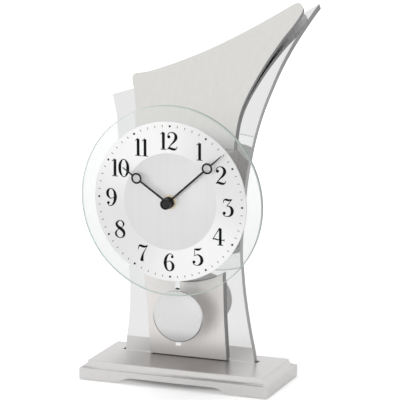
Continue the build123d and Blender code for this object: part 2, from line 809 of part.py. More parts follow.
def make_change_wheel():
    shape = arbor(change_centre, arbor_r)
    shape += gear(change_teeth, motion_module, 0, change_centre, cannon_y, gear_t, change_first)
    shape += gear(change_pinion_teeth, hour_module, 0, change_centre, hour_wheel_y,
                  cannon_y - hour_wheel_y, 90)
    return shape


def make_setting_knob():
    x, z = setting_centre
    knob_y = case_back_y + case_back_t + knob_gap
    shape = arbor(setting_centre, knob_shaft_r, y_back=knob_y + knob_t / 2)
    shape += gear(cannon_teeth, motion_module, 0, setting_centre, cannon_y, gear_t, setting_first)
    grip = disc(x, z, knob_r, knob_y, knob_y + knob_t)
    for k in range(knob_notches):
        turn = 2 * pi * k / knob_notches
        grip -= disc(x + knob_r * cos(turn), z + knob_r * sin(turn), knob_notch_r, knob_y - over,
                     knob_y + knob_t + over)
    return shape + grip


def make_centre_wheel():
    r_bore = minute_arbor_r + fit_gap
    wheel = gear(centre_teeth, centre_module, r_bore, hand_centre, centre_wheel_y, gear_t, 90)
    hub = disc(*hand_centre, minute_arbor_r + gear_t, centre_wheel_y, centre_wheel_y + gear_t + pinion_t / 4)
    return wheel + (hub - disc(*hand_centre, r_bore, centre_wheel_y - over, centre_wheel_y + 2 * pinion_t))


def make_third_wheel():
    shape = arbor(third_centre, arbor_r)
    shape += gear(third_pinion_teeth, centre_module, 0, third_centre, centre_wheel_y, pinion_t, third_first)
    shape += gear(third_teeth, third_module, 0, third_centre, third_wheel_y, gear_t, 90)
    return shape


def make_second_wheel():
    shape = arbor(second_centre, arbor_r)
    shape += gear(second_pinion_teeth, third_module, 0, second_centre, third_wheel_y, pinion_t, second_first)
    shape += gear(second_teeth, third_module, 0, second_centre, second_wheel_y, gear_t, 90)
    return shape


def make_rotor():
    x, z = rotor_centre
    shape = arbor(rotor_centre, pivot_r)
    shape += gear(rotor_pinion_teeth, third_module, 0, rotor_centre, second_wheel_y, gear_t, 90)
    return shape + disc(x, z, rotor_r, rotor_y, rotor_y + rotor_t)


# Movement case and what it holds
def bearing_holes(shape, face_y, side):
    """Blind pivot holes in a case wall, on the side of the wheels."""
    for x, z in (hand_centre, change_centre, setting_centre, third_centre, second_centre, rotor_centre):
        if side < 0 and (x, z) == hand_centre:
            continue
        if side > 0 and (x, z) == setting_centre:
            continue
        y0, y1 = sorted((face_y, face_y + side * pivot_l))
        shape -= disc(x, z, pivot_r + fit_gap, y0, y1)
    return shape


def make_movement_case():
    w, low, high = case_half_w, case_low_z, hand_z + case_up
    case = box(-w, w, case_front_y, case_back_y, low, high)
    case = fillet(case.edges().filter_by(Axis.Y), case_wall)
    inner = w - case_wall
    case -= box(-inner, inner, case_inner_y, case_back_y + over, low + case_wall, high - case_wall)
    shelf = hand_z + battery_up - battery_r - loose_gap
    case += box(-inner, inner, case_inner_y, case_back_y, shelf - bay_wall, shelf)
    case += disc(0, hand_z, bush_r, bush_front_y, case_front_y)
    case -= disc(0, hand_z, hour_tube_r + fit_gap, bush_front_y - over, case_inner_y + over)
    return bearing_holes(case, case_inner_y, -1)


def make_movement_back():
    w, low = case_half_w, case_low_z
    high = hand_z + battery_up - battery_r - loose_gap
    back = box(-w, w, case_back_y, case_back_y + case_back_t, low, high)
    back = bearing_holes(back, case_back_y, 1)
    x, z = setting_centre
    return back - disc(x, z, knob_shaft_r + fit_gap, case_back_y - over, case_back_y + case_back_t + over)


def battery_y():
    return case_inner_y + battery_r + loose_gap


def make_battery():
    z = hand_z + battery_up
    cell = bar_x(-battery_l / 2, battery_l / 2 - battery_tip_l, battery_y(), z, battery_r)
    return cell + bar_x(battery_l / 2 - battery_tip_l, battery_l / 2, battery_y(), z, battery_tip_r)


def make_battery_contacts():
    z, y = hand_z + battery_up, battery_y()
    wall = case_half_w - case_wall
    half = contact_w / 2
    parts = []
    for side in (-1, 1):
        x0, x1 = sorted((side * (wall - contact_t), side * wall))
        plate = box(x0, x1, y - half, y + half, z - half, z + half)
        n0, n1 = sorted((side * battery_l / 2, side * (wall - contact_t)))
        parts.append(plate + bar_x(n0, n1, y, z, nub_r))
    return Compound(parts)


def coil_y():
    return rotor_y + stator_t / 2


def make_stator():
    x, z = rotor_centre
    y0 = coil_y() - stator_t / 2
    half = rotor_r + stator_gap + stator_side
    low = hand_z - coil_down - coil_core_r
    plate = box(x - half, x + half, y0, y0 + stator_t, low, z + half)
    plate -= disc(x, z, rotor_r + stator_gap, y0 - over, y0 + stator_t + over)
    core = bar_x(x + half - coil_l - 2 * (coil_flange_t + half), x - half, coil_y(), hand_z - coil_down,
                 coil_core_r)
    return plate + core


def make_step_coil():
    x1 = rotor_centre[0] - rotor_r - stator_gap - stator_side - loose_gap
    x0 = x1 - coil_l
    y, z = coil_y(), hand_z - coil_down
    coil = bar_x(x0, x1, y, z, coil_r - coil_flange_t)
    coil += bar_x(x0, x0 + coil_flange_t, y, z, coil_r) + bar_x(x1 - coil_flange_t, x1, y, z, coil_r)
    return coil - bar_x(x0 - over, x1 + over, y, z, coil_core_r + fit_gap)


def make_board():
    z = hand_z - board_down
    y1 = case_back_y
    board = box(board_x - board_w / 2, board_x + board_w / 2, y1 - board_t, y1,
                z - board_h / 2, z + board_h / 2)
    board += disc(board_x, z, chip_r, y1 - board_t - chip_t, y1 - board_t)
    return board + bar_x(board_x - crystal_l / 2, board_x + crystal_l / 2, y1 - board_t - crystal_r * 0.8,
                         z - board_h / 2 + 2 * crystal_r, crystal_r)


def make_washer():
    ring = disc(0, hand_z, washer_r, case_front_y - washer_t, case_front_y)
    return ring - disc(0, hand_z, bush_r + loose_gap, case_front_y - washer_t - over, case_front_y + over)


# Pendulum
def pendulum_y():
    """Middle of the pendulum rod."""
    return case_front_y + drive_depth / 2 + rod_t


def make_drive_case():
    w, y0, y1 = drive_half_w, case_front_y, case_front_y + drive_depth
    case = box(-w, w, y0, y1, case_low_z - drive_h, case_low_z)
    case -= box(-w + drive_wall, w - drive_wall, y0 + drive_wall, y1 - drive_wall,
                case_low_z - drive_h - over, case_low_z - drive_wall)
    return case - disc(0, pin_z, pin_r, y0 - over, y1 + over)


def make_pivot_pin():
    return disc(0, pin_z, pin_r, case_front_y, case_front_y + drive_depth)


def hanger_y():
    """Front face of the hanger, against the back of the rod."""
    return pendulum_y() + rod_t / 2


def make_hanger():
    y0, y1 = hanger_y(), hanger_y() + hanger_t
    half = hanger_w / 2
    shape = disc(0, pin_z, eye_r, y0, y1) + box(-half, half, y0, y1, pin_z - hanger_l, pin_z)
    peg_z = pin_z - rod_top_down - rod_w / 2
    shape += disc(0, peg_z, peg_r, y0 - rod_t, y0)
    return shape - disc(0, pin_z, pin_r + fit_gap, y0 - over, y1 + over)


def make_magnet():
    y0 = hanger_y() + hanger_t
    return disc(0, pin_z - magnet_down, magnet_r, y0, y0 + magnet_t)


def make_drive_coil():
    y0 = hanger_y() + hanger_t + magnet_t + magnet_gap
    y1 = case_front_y + drive_depth - drive_wall
    z = pin_z - magnet_down
    return disc(0, z, drive_coil_r, y0, y1) - disc(0, z, drive_coil_hole_r, y0 - over, y1 + over)


def make_rod():
    y0, y1 = pendulum_y() - rod_t / 2, pendulum_y() + rod_t / 2
    low = bob_z - bob_r - rod_tab
    high = pin_z - rod_top_down
    rod = box(-rod_w / 2, rod_w / 2, y0, y1, low, high)
    return rod - disc(0, high - rod_w / 2, peg_r, y0 - over, y1 + over)


def make_bob():
    back = pendulum_y() - rod_t / 2
    rim = disc(0, bob_z, bob_r, back - bob_edge_t, back)
    sphere_r = (bob_r ** 2 + bob_dome ** 2) / (2 * bob_dome)
    ball = Pos(0, back - bob_edge_t - bob_dome + sphere_r, bob_z) * Sphere(sphere_r)
    cap = ball & disc(0, bob_z, bob_r, back - bob_edge_t - bob_dome - over, back - bob_edge_t)
    return rim + cap


def make_bob_clip():
    y0 = pendulum_y() - rod_t / 2
    y1 = y0 + rod_t + clip_t
    half_w, half_h = clip_w / 2, clip_h / 2
    clip = box(-half_w, half_w, y0, y1, bob_z - half_h, bob_z + half_h)
    return clip - box(-rod_w / 2, rod_w / 2, y0 - over, y0 + rod_t, bob_z - clip_h, bob_z + clip_h)


makers = {
    "base": make_base,
    "base_feet": make_feet,
    "base_screws": make_base_screws,
    "back_plate": make_plate,
    "lower_panel": make_lower_panel,
    "upper_panel": make_upper_panel,
    "panel_spacers": make_spacers,
    "panel_screws": make_panel_screws,
    "movement_housing": make_housing,
    "housing_screws": make_housing_screws,
    "rear_cover": make_rear_cover,
    "glass_disc": make_glass,
    "dial_disc": make_dial,
    "dial_centre": make_dial_centre,
    "dial_marks": make_dial_marks,
    "fixing_nut": make_nut,
    "hour_hand": make_hour_hand,
    "minute_hand": make_minute_hand,
    "hub_cap": make_hub_cap,
    "minute_arbor": make_minute_arbor,
    "hour_wheel": make_hour_wheel,
    "change_wheel": make_change_wheel,
    "setting_knob": make_setting_knob,
    "centre_wheel": make_centre_wheel,
    "third_wheel": make_third_wheel,
    "second_wheel": make_second_wheel,
    "rotor": make_rotor,
    "movement_case": make_movement_case,
    "movement_back": make_movement_back,
    "battery": make_battery,
    "battery_contacts": make_battery_contacts,
    "stator": make_stator,
    "step_coil": make_step_coil,
    "circuit_board": make_board,
    "rubber_washer": make_washer,
    "drive_case": make_drive_case,
    "pivot_pin": make_pivot_pin,
    "pendulum_hanger": make_hanger,
    "drive_magnet": make_magnet,
    "drive_coil": make_drive_coil,
    "pendulum_rod": make_rod,
    "pendulum_disc": make_bob,
    "disc_clip": make_bob_clip,
}

for node, maker in makers.items():
    export(node, maker())
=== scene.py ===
# %% [markdown]
# # A desk pendulum clock
# The clock is a silver lacquered base, a tall mirror-bright board that bends back at the top,
# a brushed board in front of it in two parts, a round glass with a spun silver dial, thin black
# hands, and a small pendulum. The measured model is loaded first and stays as it is. Each
# visible piece is then modelled finer than the measured one and put in the same place.

# %% Load the measured model
from math import acos, cos, pi, radians, sin, sqrt, tan

import bmesh
import bpy
from mathutils import Matrix, Vector


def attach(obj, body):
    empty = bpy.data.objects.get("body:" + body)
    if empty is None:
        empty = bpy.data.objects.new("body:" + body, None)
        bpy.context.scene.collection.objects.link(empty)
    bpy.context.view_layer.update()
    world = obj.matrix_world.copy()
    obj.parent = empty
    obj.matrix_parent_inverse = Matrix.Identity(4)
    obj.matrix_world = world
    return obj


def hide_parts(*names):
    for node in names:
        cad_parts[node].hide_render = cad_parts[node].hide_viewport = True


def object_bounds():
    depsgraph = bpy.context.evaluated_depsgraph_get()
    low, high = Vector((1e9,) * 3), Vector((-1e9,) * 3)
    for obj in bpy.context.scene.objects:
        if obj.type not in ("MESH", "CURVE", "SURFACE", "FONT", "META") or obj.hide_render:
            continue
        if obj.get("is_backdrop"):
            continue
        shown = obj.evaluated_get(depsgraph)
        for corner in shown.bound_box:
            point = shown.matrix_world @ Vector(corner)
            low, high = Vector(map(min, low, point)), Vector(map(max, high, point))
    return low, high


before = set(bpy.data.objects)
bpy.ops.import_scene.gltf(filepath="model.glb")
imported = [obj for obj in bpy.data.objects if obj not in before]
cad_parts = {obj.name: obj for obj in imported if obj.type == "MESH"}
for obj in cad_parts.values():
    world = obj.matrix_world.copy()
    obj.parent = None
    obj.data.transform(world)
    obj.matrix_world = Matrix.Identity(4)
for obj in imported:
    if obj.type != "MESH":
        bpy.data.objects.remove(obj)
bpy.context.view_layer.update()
mm = 0.001

# %% [markdown]
# ## The camera
# The place of the camera was worked out from the photograph: the round glass gives the
# direction, and the distance follows from how much narrower the far end of the base looks.
# A long lens far away could do the same job, but the near one gives the true perspective.

# %% Camera
camera_at = Vector((971.64, -2462.81, 758.84)) * mm
look_at = Vector((12.795, 0, 188.45)) * mm
camera_turn = (look_at - camera_at).to_track_quat("-Z", "Y").to_euler()
bpy.ops.object.camera_add(location=camera_at, rotation=camera_turn)
camera = bpy.context.object
camera.name = "photo_camera"
camera.data.sensor_width = 36
camera.data.lens = 239.66
camera.data.clip_end = 60
bpy.context.scene.camera = camera
bpy.context.scene.view_settings.view_transform = "Standard"
print("camera distance in m:", round((look_at - camera_at).length, 2))

# %% [markdown]
# ## Finishes as sums
# A finish is a material made of nodes. Nodes could be wired one by one, but a pattern is easier
# to read as a sum. `Signal` wraps the output of a node and adds a Math node for each operator,
# and `Finish.node` makes every other node from its type, its settings and its inputs.

# %% Signals
class Signal:
    """The output of a node, which can be added, scaled and compared as a number."""

    def __init__(self, finish, socket):
        self.finish = finish
        self.socket = socket

    def maths(self, operation, *values):
        return self.finish.node("ShaderNodeMath", {"operation": operation}, dict(enumerate(values)))

    def __add__(self, other):
        return self.maths("ADD", self, other)

    def __radd__(self, other):
        return self.maths("ADD", other, self)

    def __sub__(self, other):
        return self.maths("SUBTRACT", self, other)

    def __rsub__(self, other):
        return self.maths("SUBTRACT", other, self)

    def __mul__(self, other):
        return self.maths("MULTIPLY", self, other)

    def __rmul__(self, other):
        return self.maths("MULTIPLY", other, self)

    def smooth_step(self, low, high):
        """Rise softly from 0 to 1 between two values."""
        inputs = {"Value": self, "From Min": low, "From Max": high}
        return self.finish.node("ShaderNodeMapRange", {"interpolation_type": "SMOOTHSTEP"}, inputs)


# %% A finish
class Finish:
    """A material on one Principled shader, whose varying values are signals."""

    def __init__(self, name, colour, roughness, metallic=0.0, **fixed):
        self.material = bpy.data.materials.new(name)
        self.material.use_nodes = True
        self.tree = self.material.node_tree
        self.shader = self.tree.nodes["Principled BSDF"]
        self.set("Base Color", (*colour, 1))
        self.set("Roughness", roughness)
        self.set("Metallic", metallic)
        for socket, value in fixed.items():
            self.set(socket.replace("_", " "), value)

    def set(self, socket, value):
        """Give a socket of the shader a number, a colour or a signal."""
        self.join(self.shader.inputs[socket], value)

    def join(self, socket, value):
        if isinstance(value, Signal):
            self.tree.links.new(value.socket, socket)
        else:
            socket.default_value = value

    def node(self, kind, settings=None, inputs=None, output=0):
        """Make a node: its settings first, then the values or signals of its inputs."""
        made = self.tree.nodes.new(kind)
        for key, value in (settings or {}).items():
            setattr(made, key, value)
        for key, value in (inputs or {}).items():
            self.join(made.inputs[key], value)
        return Signal(self, made.outputs[output])

    def place(self, scale=(1, 1, 1), middle=(0, 0, 0)):
        """Object coordinates in metres, centred on a point and then scaled."""
        here = self.node("ShaderNodeTexCoord", output="Object")
        shift = {"Vector": here, "Location": [-v for v in middle]}
        here = self.node("ShaderNodeMapping", None, shift)
        return self.node("ShaderNodeMapping", None, {"Vector": here, "Scale": scale})

    def parts(self, where):
        """The X, Y and Z of a place, as three signals."""
        apart = self.node("ShaderNodeSeparateXYZ", None, {"Vector": where})
        return [Signal(self, apart.socket.node.outputs[axis]) for axis in "XYZ"]

    def height(self):
        """The height above the table of each point of the surface."""
        return self.parts(self.place())[2]

    def length(self, where):
        """The distance of a place from its middle."""
        return self.node("ShaderNodeVectorMath", {"operation": "LENGTH"}, {0: where}, output="Value")

    def ray(self, kind):
        """One where the light's path is of a kind, such as Camera, and zero elsewhere."""
        return self.node("ShaderNodeLightPath", output=f"Is {kind} Ray")

    def noise(self, where, scale, detail=2.0, rough=0.5):
        return self.node("ShaderNodeTexNoise", None, {"Vector": where, "Scale": scale,
                                                      "Detail": detail, "Roughness": rough})

    def mix(self, share, first, second):
        """Blend two colours."""
        colours = {0: share}
        for key, value in ((6, first), (7, second)):
            colours[key] = value if isinstance(value, Signal) else (*value, 1)
        return self.node("ShaderNodeMix", {"data_type": "RGBA"}, colours, output=2)

    def bump(self, height, strength, distance):
        """Turn a height signal into the shader's normal."""
        inputs = {"Height": height, "Strength": strength, "Distance": distance}
        self.set("Normal", self.node("ShaderNodeBump", None, inputs))

    def blend_shaders(self, kind, other, share=None):
        """Join the finish's own shader with another one by a node, and show the result."""
        made = self.tree.nodes.new(kind)
        sockets = list(made.inputs)
        if share is not None:
            self.join(sockets.pop(0), share)
        self.tree.links.new(self.shader.outputs[0], sockets[0])
        self.join(sockets[1], other)
        self.tree.links.new(made.outputs[0], self.tree.nodes["Material Output"].inputs["Surface"])


def grey(level):
    """A neutral colour from its level on a screen, 0 to 255, as a linear value."""
    share = level / 255
    linear = share / 12.92 if share <= 0.04045 else ((share + 0.055) / 1.055) ** 2.4
    return (linear, linear, linear)


def tint(red, green, blue):
    """A colour from its levels on a screen, 0 to 255, as linear values."""
    return (grey(red)[0], grey(green)[0], grey(blue)[0])


def mottled(name, colour, roughness, grain, shades, rough=None, detail=2.0, metallic=0.0, **fixed):
    """A finish with a fine noise that moves its colour between two shades, and its roughness too."""
    made = Finish(name, colour, roughness, metallic, **fixed)
    made.mottle = made.noise(made.place(), grain, detail)
    made.shade = made.mix(made.mottle, *shades)
    made.set("Base Color", made.shade)
    if rough:
        made.set("Roughness", rough[0] + made.mottle * rough[1])
    return made


print("mid grey as a linear value:", round(grey(128)[0], 3))

# %% [markdown]
# ## Floor, lamps and background
# The photograph was taken on a white sweep under soft light. A closed white room would work,
# but it renders slowly. Here the floor is a large pale plane and the background is the world
# colour. Rays that come straight from the camera, or through glass, or off metal see both
# brighter, so that the floor meets the background without a line, and the light that falls on
# the clock stays at a plain level. Round the base the floor is left dark enough for its shadow.

# %% Floor
bpy.ops.object.select_all(action="DESELECT")
floor_size = 24
bpy.ops.mesh.primitive_plane_add(size=floor_size, location=(0, 0, 0))
floor = bpy.context.object
floor.name = "floor"
floor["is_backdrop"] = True
paper = mottled("white_paper", grey(247), 0.9, 3.0, (grey(246), grey(248)))
glow_from, glow_to = 0.25, 1.6
shadow_w, shadow_d = 0.115, 0.052
far_lift, near_lift = 0.50, 0.30
mirrored_far_lift, mirrored_lift = 0.24, 0.06
shadow_fades = (0.6, 0.88)
beyond = paper.length(paper.place()).smooth_step(glow_from, glow_to)
beside = paper.length(paper.place((1 / shadow_w, 1 / shadow_d, 1))).smooth_step(*shadow_fades)
through = paper.ray("Transmission")
indirect = through.maths("MAXIMUM", through, paper.ray("Glossy"))
seen = paper.ray("Camera") * (beyond * far_lift + beside * near_lift)
glow = seen + indirect * (beyond * mirrored_far_lift + mirrored_lift)
paper.blend_shaders("ShaderNodeAddShader", paper.node("ShaderNodeEmission", None, {"Strength": glow}))
floor.data.materials.append(paper.material)

# %% World
world = bpy.data.worlds.new("studio")
bpy.context.scene.world = world
world.use_nodes = True
sky = world.node_tree
sky_light = sky.nodes["Background"]
sky_light.inputs["Color"].default_value = (1, 1, 1, 1)
path = sky.nodes.new("ShaderNodeLightPath")
world_level = 0.42
seen_level = {"Is Camera Ray": 0.58, "Is Transmission Ray": 0.58, "Is Glossy Ray": 0.50}


def sky_maths(operation, first, second):
    """A Math node of the world, on sockets or numbers."""
    made = sky.nodes.new("ShaderNodeMath")
    made.operation = operation
    for socket, value in zip(made.inputs, (first, second)):
        if isinstance(value, float):
            socket.default_value = value
        else:
            sky.links.new(value, socket)
    return made.outputs[0]


brighter = 0.0
for ray, extra in seen_level.items():
    brighter = sky_maths("MAXIMUM", brighter, sky_maths("MULTIPLY", path.outputs[ray], extra))
sky.links.new(sky_maths("ADD", brighter, world_level), sky_light.inputs["Strength"])

# %% Lamps
clock_middle = Vector((0, 0, 0.19))


def add_softbox(name, place, width, height, watts, mirrored):
    """A soft lamp that points at the middle of the clock; metal and glass may be kept from seeing it."""
    place = Vector(place)
    turn = (clock_middle - place).to_track_quat("-Z", "Y").to_euler()
    bpy.ops.object.light_add(type="AREA", location=place, rotation=turn)
    lamp = bpy.context.object
    lamp.name = name
    lamp.data.shape = "RECTANGLE"
    lamp.data.size = width
    lamp.data.size_y = height
    lamp.data.energy = watts
    lamp.visible_glossy = mirrored
    lamp.visible_transmission = mirrored


add_softbox("key_softbox", (-0.15, -3.9, 0.55), 1.5, 1.5, 92, False)
add_softbox("top_softbox", (-0.4, 0.3, 2.4), 1.6, 1.4, 28, False)
add_softbox("side_softbox", (1.9, 0.4, 1.1), 0.9, 0.9, 2.5, True)

# %% [markdown]
# ## Working by hand in code
# Every piece is made with the same steps as at the screen: add a primitive, go into edit mode,
# select faces or edges, run an operator, and come back. The helpers below select by place, so
# that each step says in words what it works on.

# %% Helpers for editing
merge_within = 0.001 * mm
merge_outline_within = 0.01 * mm


def only(obj):
    """Select one object and nothing else."""
    if bpy.context.object and bpy.context.object.mode != "OBJECT":
        bpy.ops.object.mode_set(mode="OBJECT")
    bpy.ops.object.select_all(action="DESELECT")
    obj.select_set(True)
    bpy.context.view_layer.objects.active = obj


def settle(obj, name=None):
    """Put the object's place, turn and scale into its mesh."""
    only(obj)
    bpy.ops.object.transform_apply(location=True, rotation=True, scale=True)
    if name:
        obj.name = name
        obj.data.name = name
    return obj


def pick(obj, kind, test):
    """Go into edit mode and select the vertices, edges or faces that pass a test."""
    if obj.mode != "EDIT":
        only(obj)
        bpy.ops.object.mode_set(mode="EDIT")
    bpy.ops.mesh.select_mode(type={"verts": "VERT", "edges": "EDGE", "faces": "FACE"}[kind])
    bpy.ops.mesh.select_all(action="DESELECT")
    mesh = bmesh.from_edit_mesh(obj.data)
    for part in getattr(mesh, kind):
        if test(part):
            part.select_set(True)
    mesh.select_flush_mode()
    bmesh.update_edit_mesh(obj.data)


def leave():
    bpy.ops.object.mode_set(mode="OBJECT")


def cut(obj, point, normal, **options):
    """Slice the whole mesh along a plane."""
    pick(obj, "faces", lambda face: True)
    bpy.ops.mesh.bisect(plane_co=point, plane_no=normal, **options)


def finish_with(obj, kind, **settings):
    """Add a modifier, set it and apply it."""
    only(obj)
    modifier = obj.modifiers.new(kind.title(), kind)
    for key, value in settings.items():
        setattr(modifier, key, value)
    bpy.ops.object.modifier_apply(modifier=modifier.name)


def smooth(obj, angle=35):
    only(obj)
    bpy.ops.object.shade_smooth_by_angle(angle=radians(angle))


def join(pieces, name):
    """Make one object of several."""
    only(pieces[0])
    for piece in pieces:
        piece.select_set(True)
    bpy.ops.object.join()
    return settle(bpy.context.object, name)


def give_second_finish(obj, test):
    """Move the faces that pass a test to the second finish."""
    for face in obj.data.polygons:
        if test(face):
            face.material_index = 1


def tidy_mesh(obj):
    """Merge doubles and turn all faces outwards."""
    pick(obj, "faces", lambda face: True)
    bpy.ops.mesh.remove_doubles(threshold=merge_within)
    bpy.ops.mesh.normals_make_consistent(inside=False)
    leave()


def dress(obj, finish, body, slot_name, *nodes):
    """Give a piece its finish, its body and the measured nodes that it stands for.

    An empty list of finishes keeps those that the piece already has.
    """
    if finish:
        obj.data.materials.clear()
    for each in finish if isinstance(finish, (list, tuple)) else [finish]:
        obj.data.materials.append(each.material)
    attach(obj, body)
    if nodes:
        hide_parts(*nodes)
    print(obj.name, "faces:", len(obj.data.polygons))
    return obj


def round_bar(sides, radius, depth, middle):
    """A round bar or disc along Y."""
    bpy.ops.object.select_all(action="DESELECT")
    bpy.ops.mesh.primitive_cylinder_add(vertices=sides, radius=radius, depth=depth, location=middle,
                                        rotation=(pi / 2, 0, 0))
    return bpy.context.object


# %% [markdown]
# ## The bent boards
# The rear plate and the upper front panel are flat boards, cut to a curved outline and then bent
# back over a large radius. A grid could be bent with a modifier, but its edge would be stepped.
# Here the outline is drawn as a smooth curve and filled, the flat shape is sliced every few
# millimetres, and each point is pushed back by exactly as much as the bend asks at its height.
# A thickness is added last, so that the edges stay square to the surface as on a real bent board.

# %% Sizes of the boards
base_top = 19.5 * mm
plate_reach = 100 * mm
plate_rise = 359.5 * mm
plate_front = 13 * mm
plate_t = 8 * mm
panel_t = 5 * mm
bend_z = 156 * mm
bend_y = 313 * mm
bend_r = 300 * mm
lift_angle = 17
lift_r = 365 * mm
panel_r = bend_r + panel_t


def plate_depth(z):
    """Depth of the rear plate's front face at a height."""
    rise = max(z - bend_z, 0)
    return bend_y - sqrt(bend_r ** 2 - rise ** 2)


lift_y = bend_y - (bend_r - lift_r) * cos(radians(lift_angle))
lift_z = bend_z + (bend_r - lift_r) * sin(radians(lift_angle))
lift_from = bend_z + panel_r * sin(radians(lift_angle))


def panel_depth(z):
    """Depth of the upper panel's front face: along the plate first, then on a wider bend."""
    if z < lift_from:
        rise = max(z - bend_z, 0)
        return bend_y - sqrt(panel_r ** 2 - rise ** 2)
    return lift_y - sqrt((lift_r + panel_t) ** 2 - (z - lift_z) ** 2)


print("front of the panel at the lift, in mm:", round(panel_depth(lift_from) / mm, 2))

# %% Outlines of the boards
plate_left = [(-0.752, -0.0223), (-0.752, 0), (-0.710, 0.111), (-0.701, 0.172), (-0.713, 0.278),
              (-0.778, 0.473), (-0.871, 0.620), (-0.917, 0.670), (-1.009, 0.735)]
plate_top = [(-1.009, 0.735), (-0.760, 0.757), (-0.488, 0.780), (-0.178, 0.817),
             (0.220, 0.875), (0.580, 0.928), (0.830, 0.968), (1.006, 1.0)]
plate_right = [(1.006, 1.0), (0.959, 0.973), (0.802, 0.866), (0.708, 0.777), (0.632, 0.686),
               (0.578, 0.574), (0.536, 0.399), (0.523, 0.320), (0.538, 0.242), (0.570, 0.166),
               (0.617, 0.088), (0.675, 0), (0.675, -0.0223)]
panel_left = [(-0.456, 0), (-0.508, 0.223), (-0.583, 0.459), (-0.698, 0.694),
              (-0.734, 0.738), (-0.790, 0.779), (-0.803, 0.796)]
panel_top = [(-0.803, 0.796), (-0.620, 0.8062), (-0.488, 0.8187), (-0.332, 0.8348),
             (-0.178, 0.8526), (0.021, 0.878), (0.220, 0.9071), (0.389, 0.9332),
             (0.581, 0.9656), (0.744, 0.9944), (0.995, 1.0364)]
panel_right = [(0.995, 1.0364), (0.846, 0.9505), (0.758, 0.912), (0.692, 0.879),
               (0.614, 0.837), (0.547, 0.796), (0.490, 0.757), (0.446, 0.716),
               (0.426, 0.674), (0.424, 0.600), (0.376, 0.420), (0.350, 0.280), (0.352, 0.215),
               (0.360, 0.133), (0.376, 0.055), (0.389, 0)]


def round_corner(before, corner, after, radius, count=7):
    """Points of an arc that rounds a corner between its two neighbours, as shares."""
    unit = Vector((plate_reach, plate_rise))
    here = Vector(corner) * unit
    one = (Vector(before) * unit - here).normalized()
    two = (Vector(after) * unit - here).normalized()
    half = acos(one.dot(two)) / 2
    middle = here + (one + two).normalized() * radius / sin(half)
    start = here + one * radius / tan(half) - middle
    swing = pi - 2 * half
    if start.cross(here - middle) < 0:
        swing = -swing
    arc = []
    for i in range(count):
        spoke = Matrix.Rotation(swing * i / (count - 1), 2) @ start
        arc.append(tuple((middle + spoke)[k] / unit[k] for k in range(2)))
    return arc


def draw_outline(name, sides):
    """A filled flat shape in the XZ plane, from curved sides that meet in sharp corners."""
    data = bpy.data.curves.new(name, "CURVE")
    data.dimensions = "2D"
    data.fill_mode = "BOTH"
    data.resolution_u = 16
    places = []
    corners = []
    for side in sides:
        corners.append(len(places))
        places += side[:-1]
    line = data.splines.new("BEZIER")
    line.bezier_points.add(len(places) - 1)
    line.use_cyclic_u = True
    for i, (x, z) in enumerate(places):
        point = line.bezier_points[i]
        point.co = (x * plate_reach, base_top + z * plate_rise, 0)
        point.handle_left_type = point.handle_right_type = "AUTO"
    outline = bpy.data.objects.new(name, data)
    bpy.context.scene.collection.objects.link(outline)
    bpy.context.view_layer.update()
    for i in corners:
        sharpen_corner(line.bezier_points, i)
    only(outline)
    bpy.ops.object.convert(target="MESH")
    outline.rotation_euler = (pi / 2, 0, 0)
    return settle(outline, name)


def sharpen_corner(points, i):
    """Aim each handle of a corner at the neighbour's handle, so that the sides stay smooth."""
    count = len(points)
    here = points[i]
    before, after = points[i - 1], points[(i + 1) % count]
    here.handle_left_type = here.handle_right_type = "FREE"
    here.handle_left = here.co + (before.handle_right - here.co) * 0.5
    here.handle_right = here.co + (after.handle_left - here.co) * 0.5


# %% Bending and thickness
slice_step = 2.0 * mm
edge_round = 0.35 * mm


def bend_board(board, depth, low, high):
    """Slice a flat board at many heights and push each point back to its depth."""
    z = low
    while z < high:
        cut(board, (0, 0, z), (0, 0, 1))
        z += slice_step
    leave()
    for vertex in board.data.vertices:
        vertex.co.y = depth(vertex.co.z)


def thicken(board, thickness, finishes):
    """Give the sheet its thickness behind the front face: rim and back get their own finishes."""
    tidy_front(board)
    for each in finishes:
        board.data.materials.append(each.material)
    finish_with(board, "SOLIDIFY", thickness=thickness, offset=-1, use_even_offset=True,
                material_offset_rim=1, material_offset=2)


def break_edges(board):
    """Take the sharpness off the edges, as a light sanding does."""
    finish_with(board, "BEVEL", width=edge_round, segments=2, limit_method="ANGLE",
                angle_limit=radians(50))
    smooth(board, 15)


def tidy_front(board):
    """Merge doubles and turn the open sheet to face the front."""
    pick(board, "faces", lambda face: True)
    bpy.ops.mesh.remove_doubles(threshold=merge_outline_within)
    bpy.ops.mesh.normals_make_consistent(inside=False)
    mesh = bmesh.from_edit_mesh(board.data)
    mesh.faces.ensure_lookup_table()
    if sum(face.normal.y * face.calc_area() for face in mesh.faces) > 0:
        bpy.ops.mesh.flip_normals()
    leave()


# %% [markdown]
# ### Finishes of the boards
# The rear plate's face is polished until it mirrors the white room. A perfect mirror would look
# like a hole, so a faint unevenness is added, as a polished sheet has. The front panel is brushed
# from top to bottom: fine vertical scratches, made from noise that is stretched along Z, change
# the roughness and tilt the surface a little. Brushed metal smears what it mirrors into a long
# soft shade. A plain shader can't, so the base's reflection on the lower panel is painted as a
# darker band at its foot. The edges show the grey core of the board. The back of the front panel
# has painted shade where the gap behind it is narrow, and painted light where it opens at the top.

# %% Finishes of the boards
mirror_face = Finish("polished_silver_board", grey(240), 0.035, 1.0)
waves = mirror_face.noise(mirror_face.place((1, 1, 0.6)), 9.0, 1.0)
mirror_face.bump(waves, 0.03, 0.002)
haze = mirror_face.noise(mirror_face.place(), 30.0, 3.0)
mirror_face.set("Roughness", 0.025 + haze * 0.03)


edge_turns = (270 * mm, 340 * mm)
gap_closes = (230 * mm, 290 * mm)
gap_opens = (326 * mm, 356 * mm)
painted_foot_fades = (base_top + 1 * mm, base_top + 26 * mm)


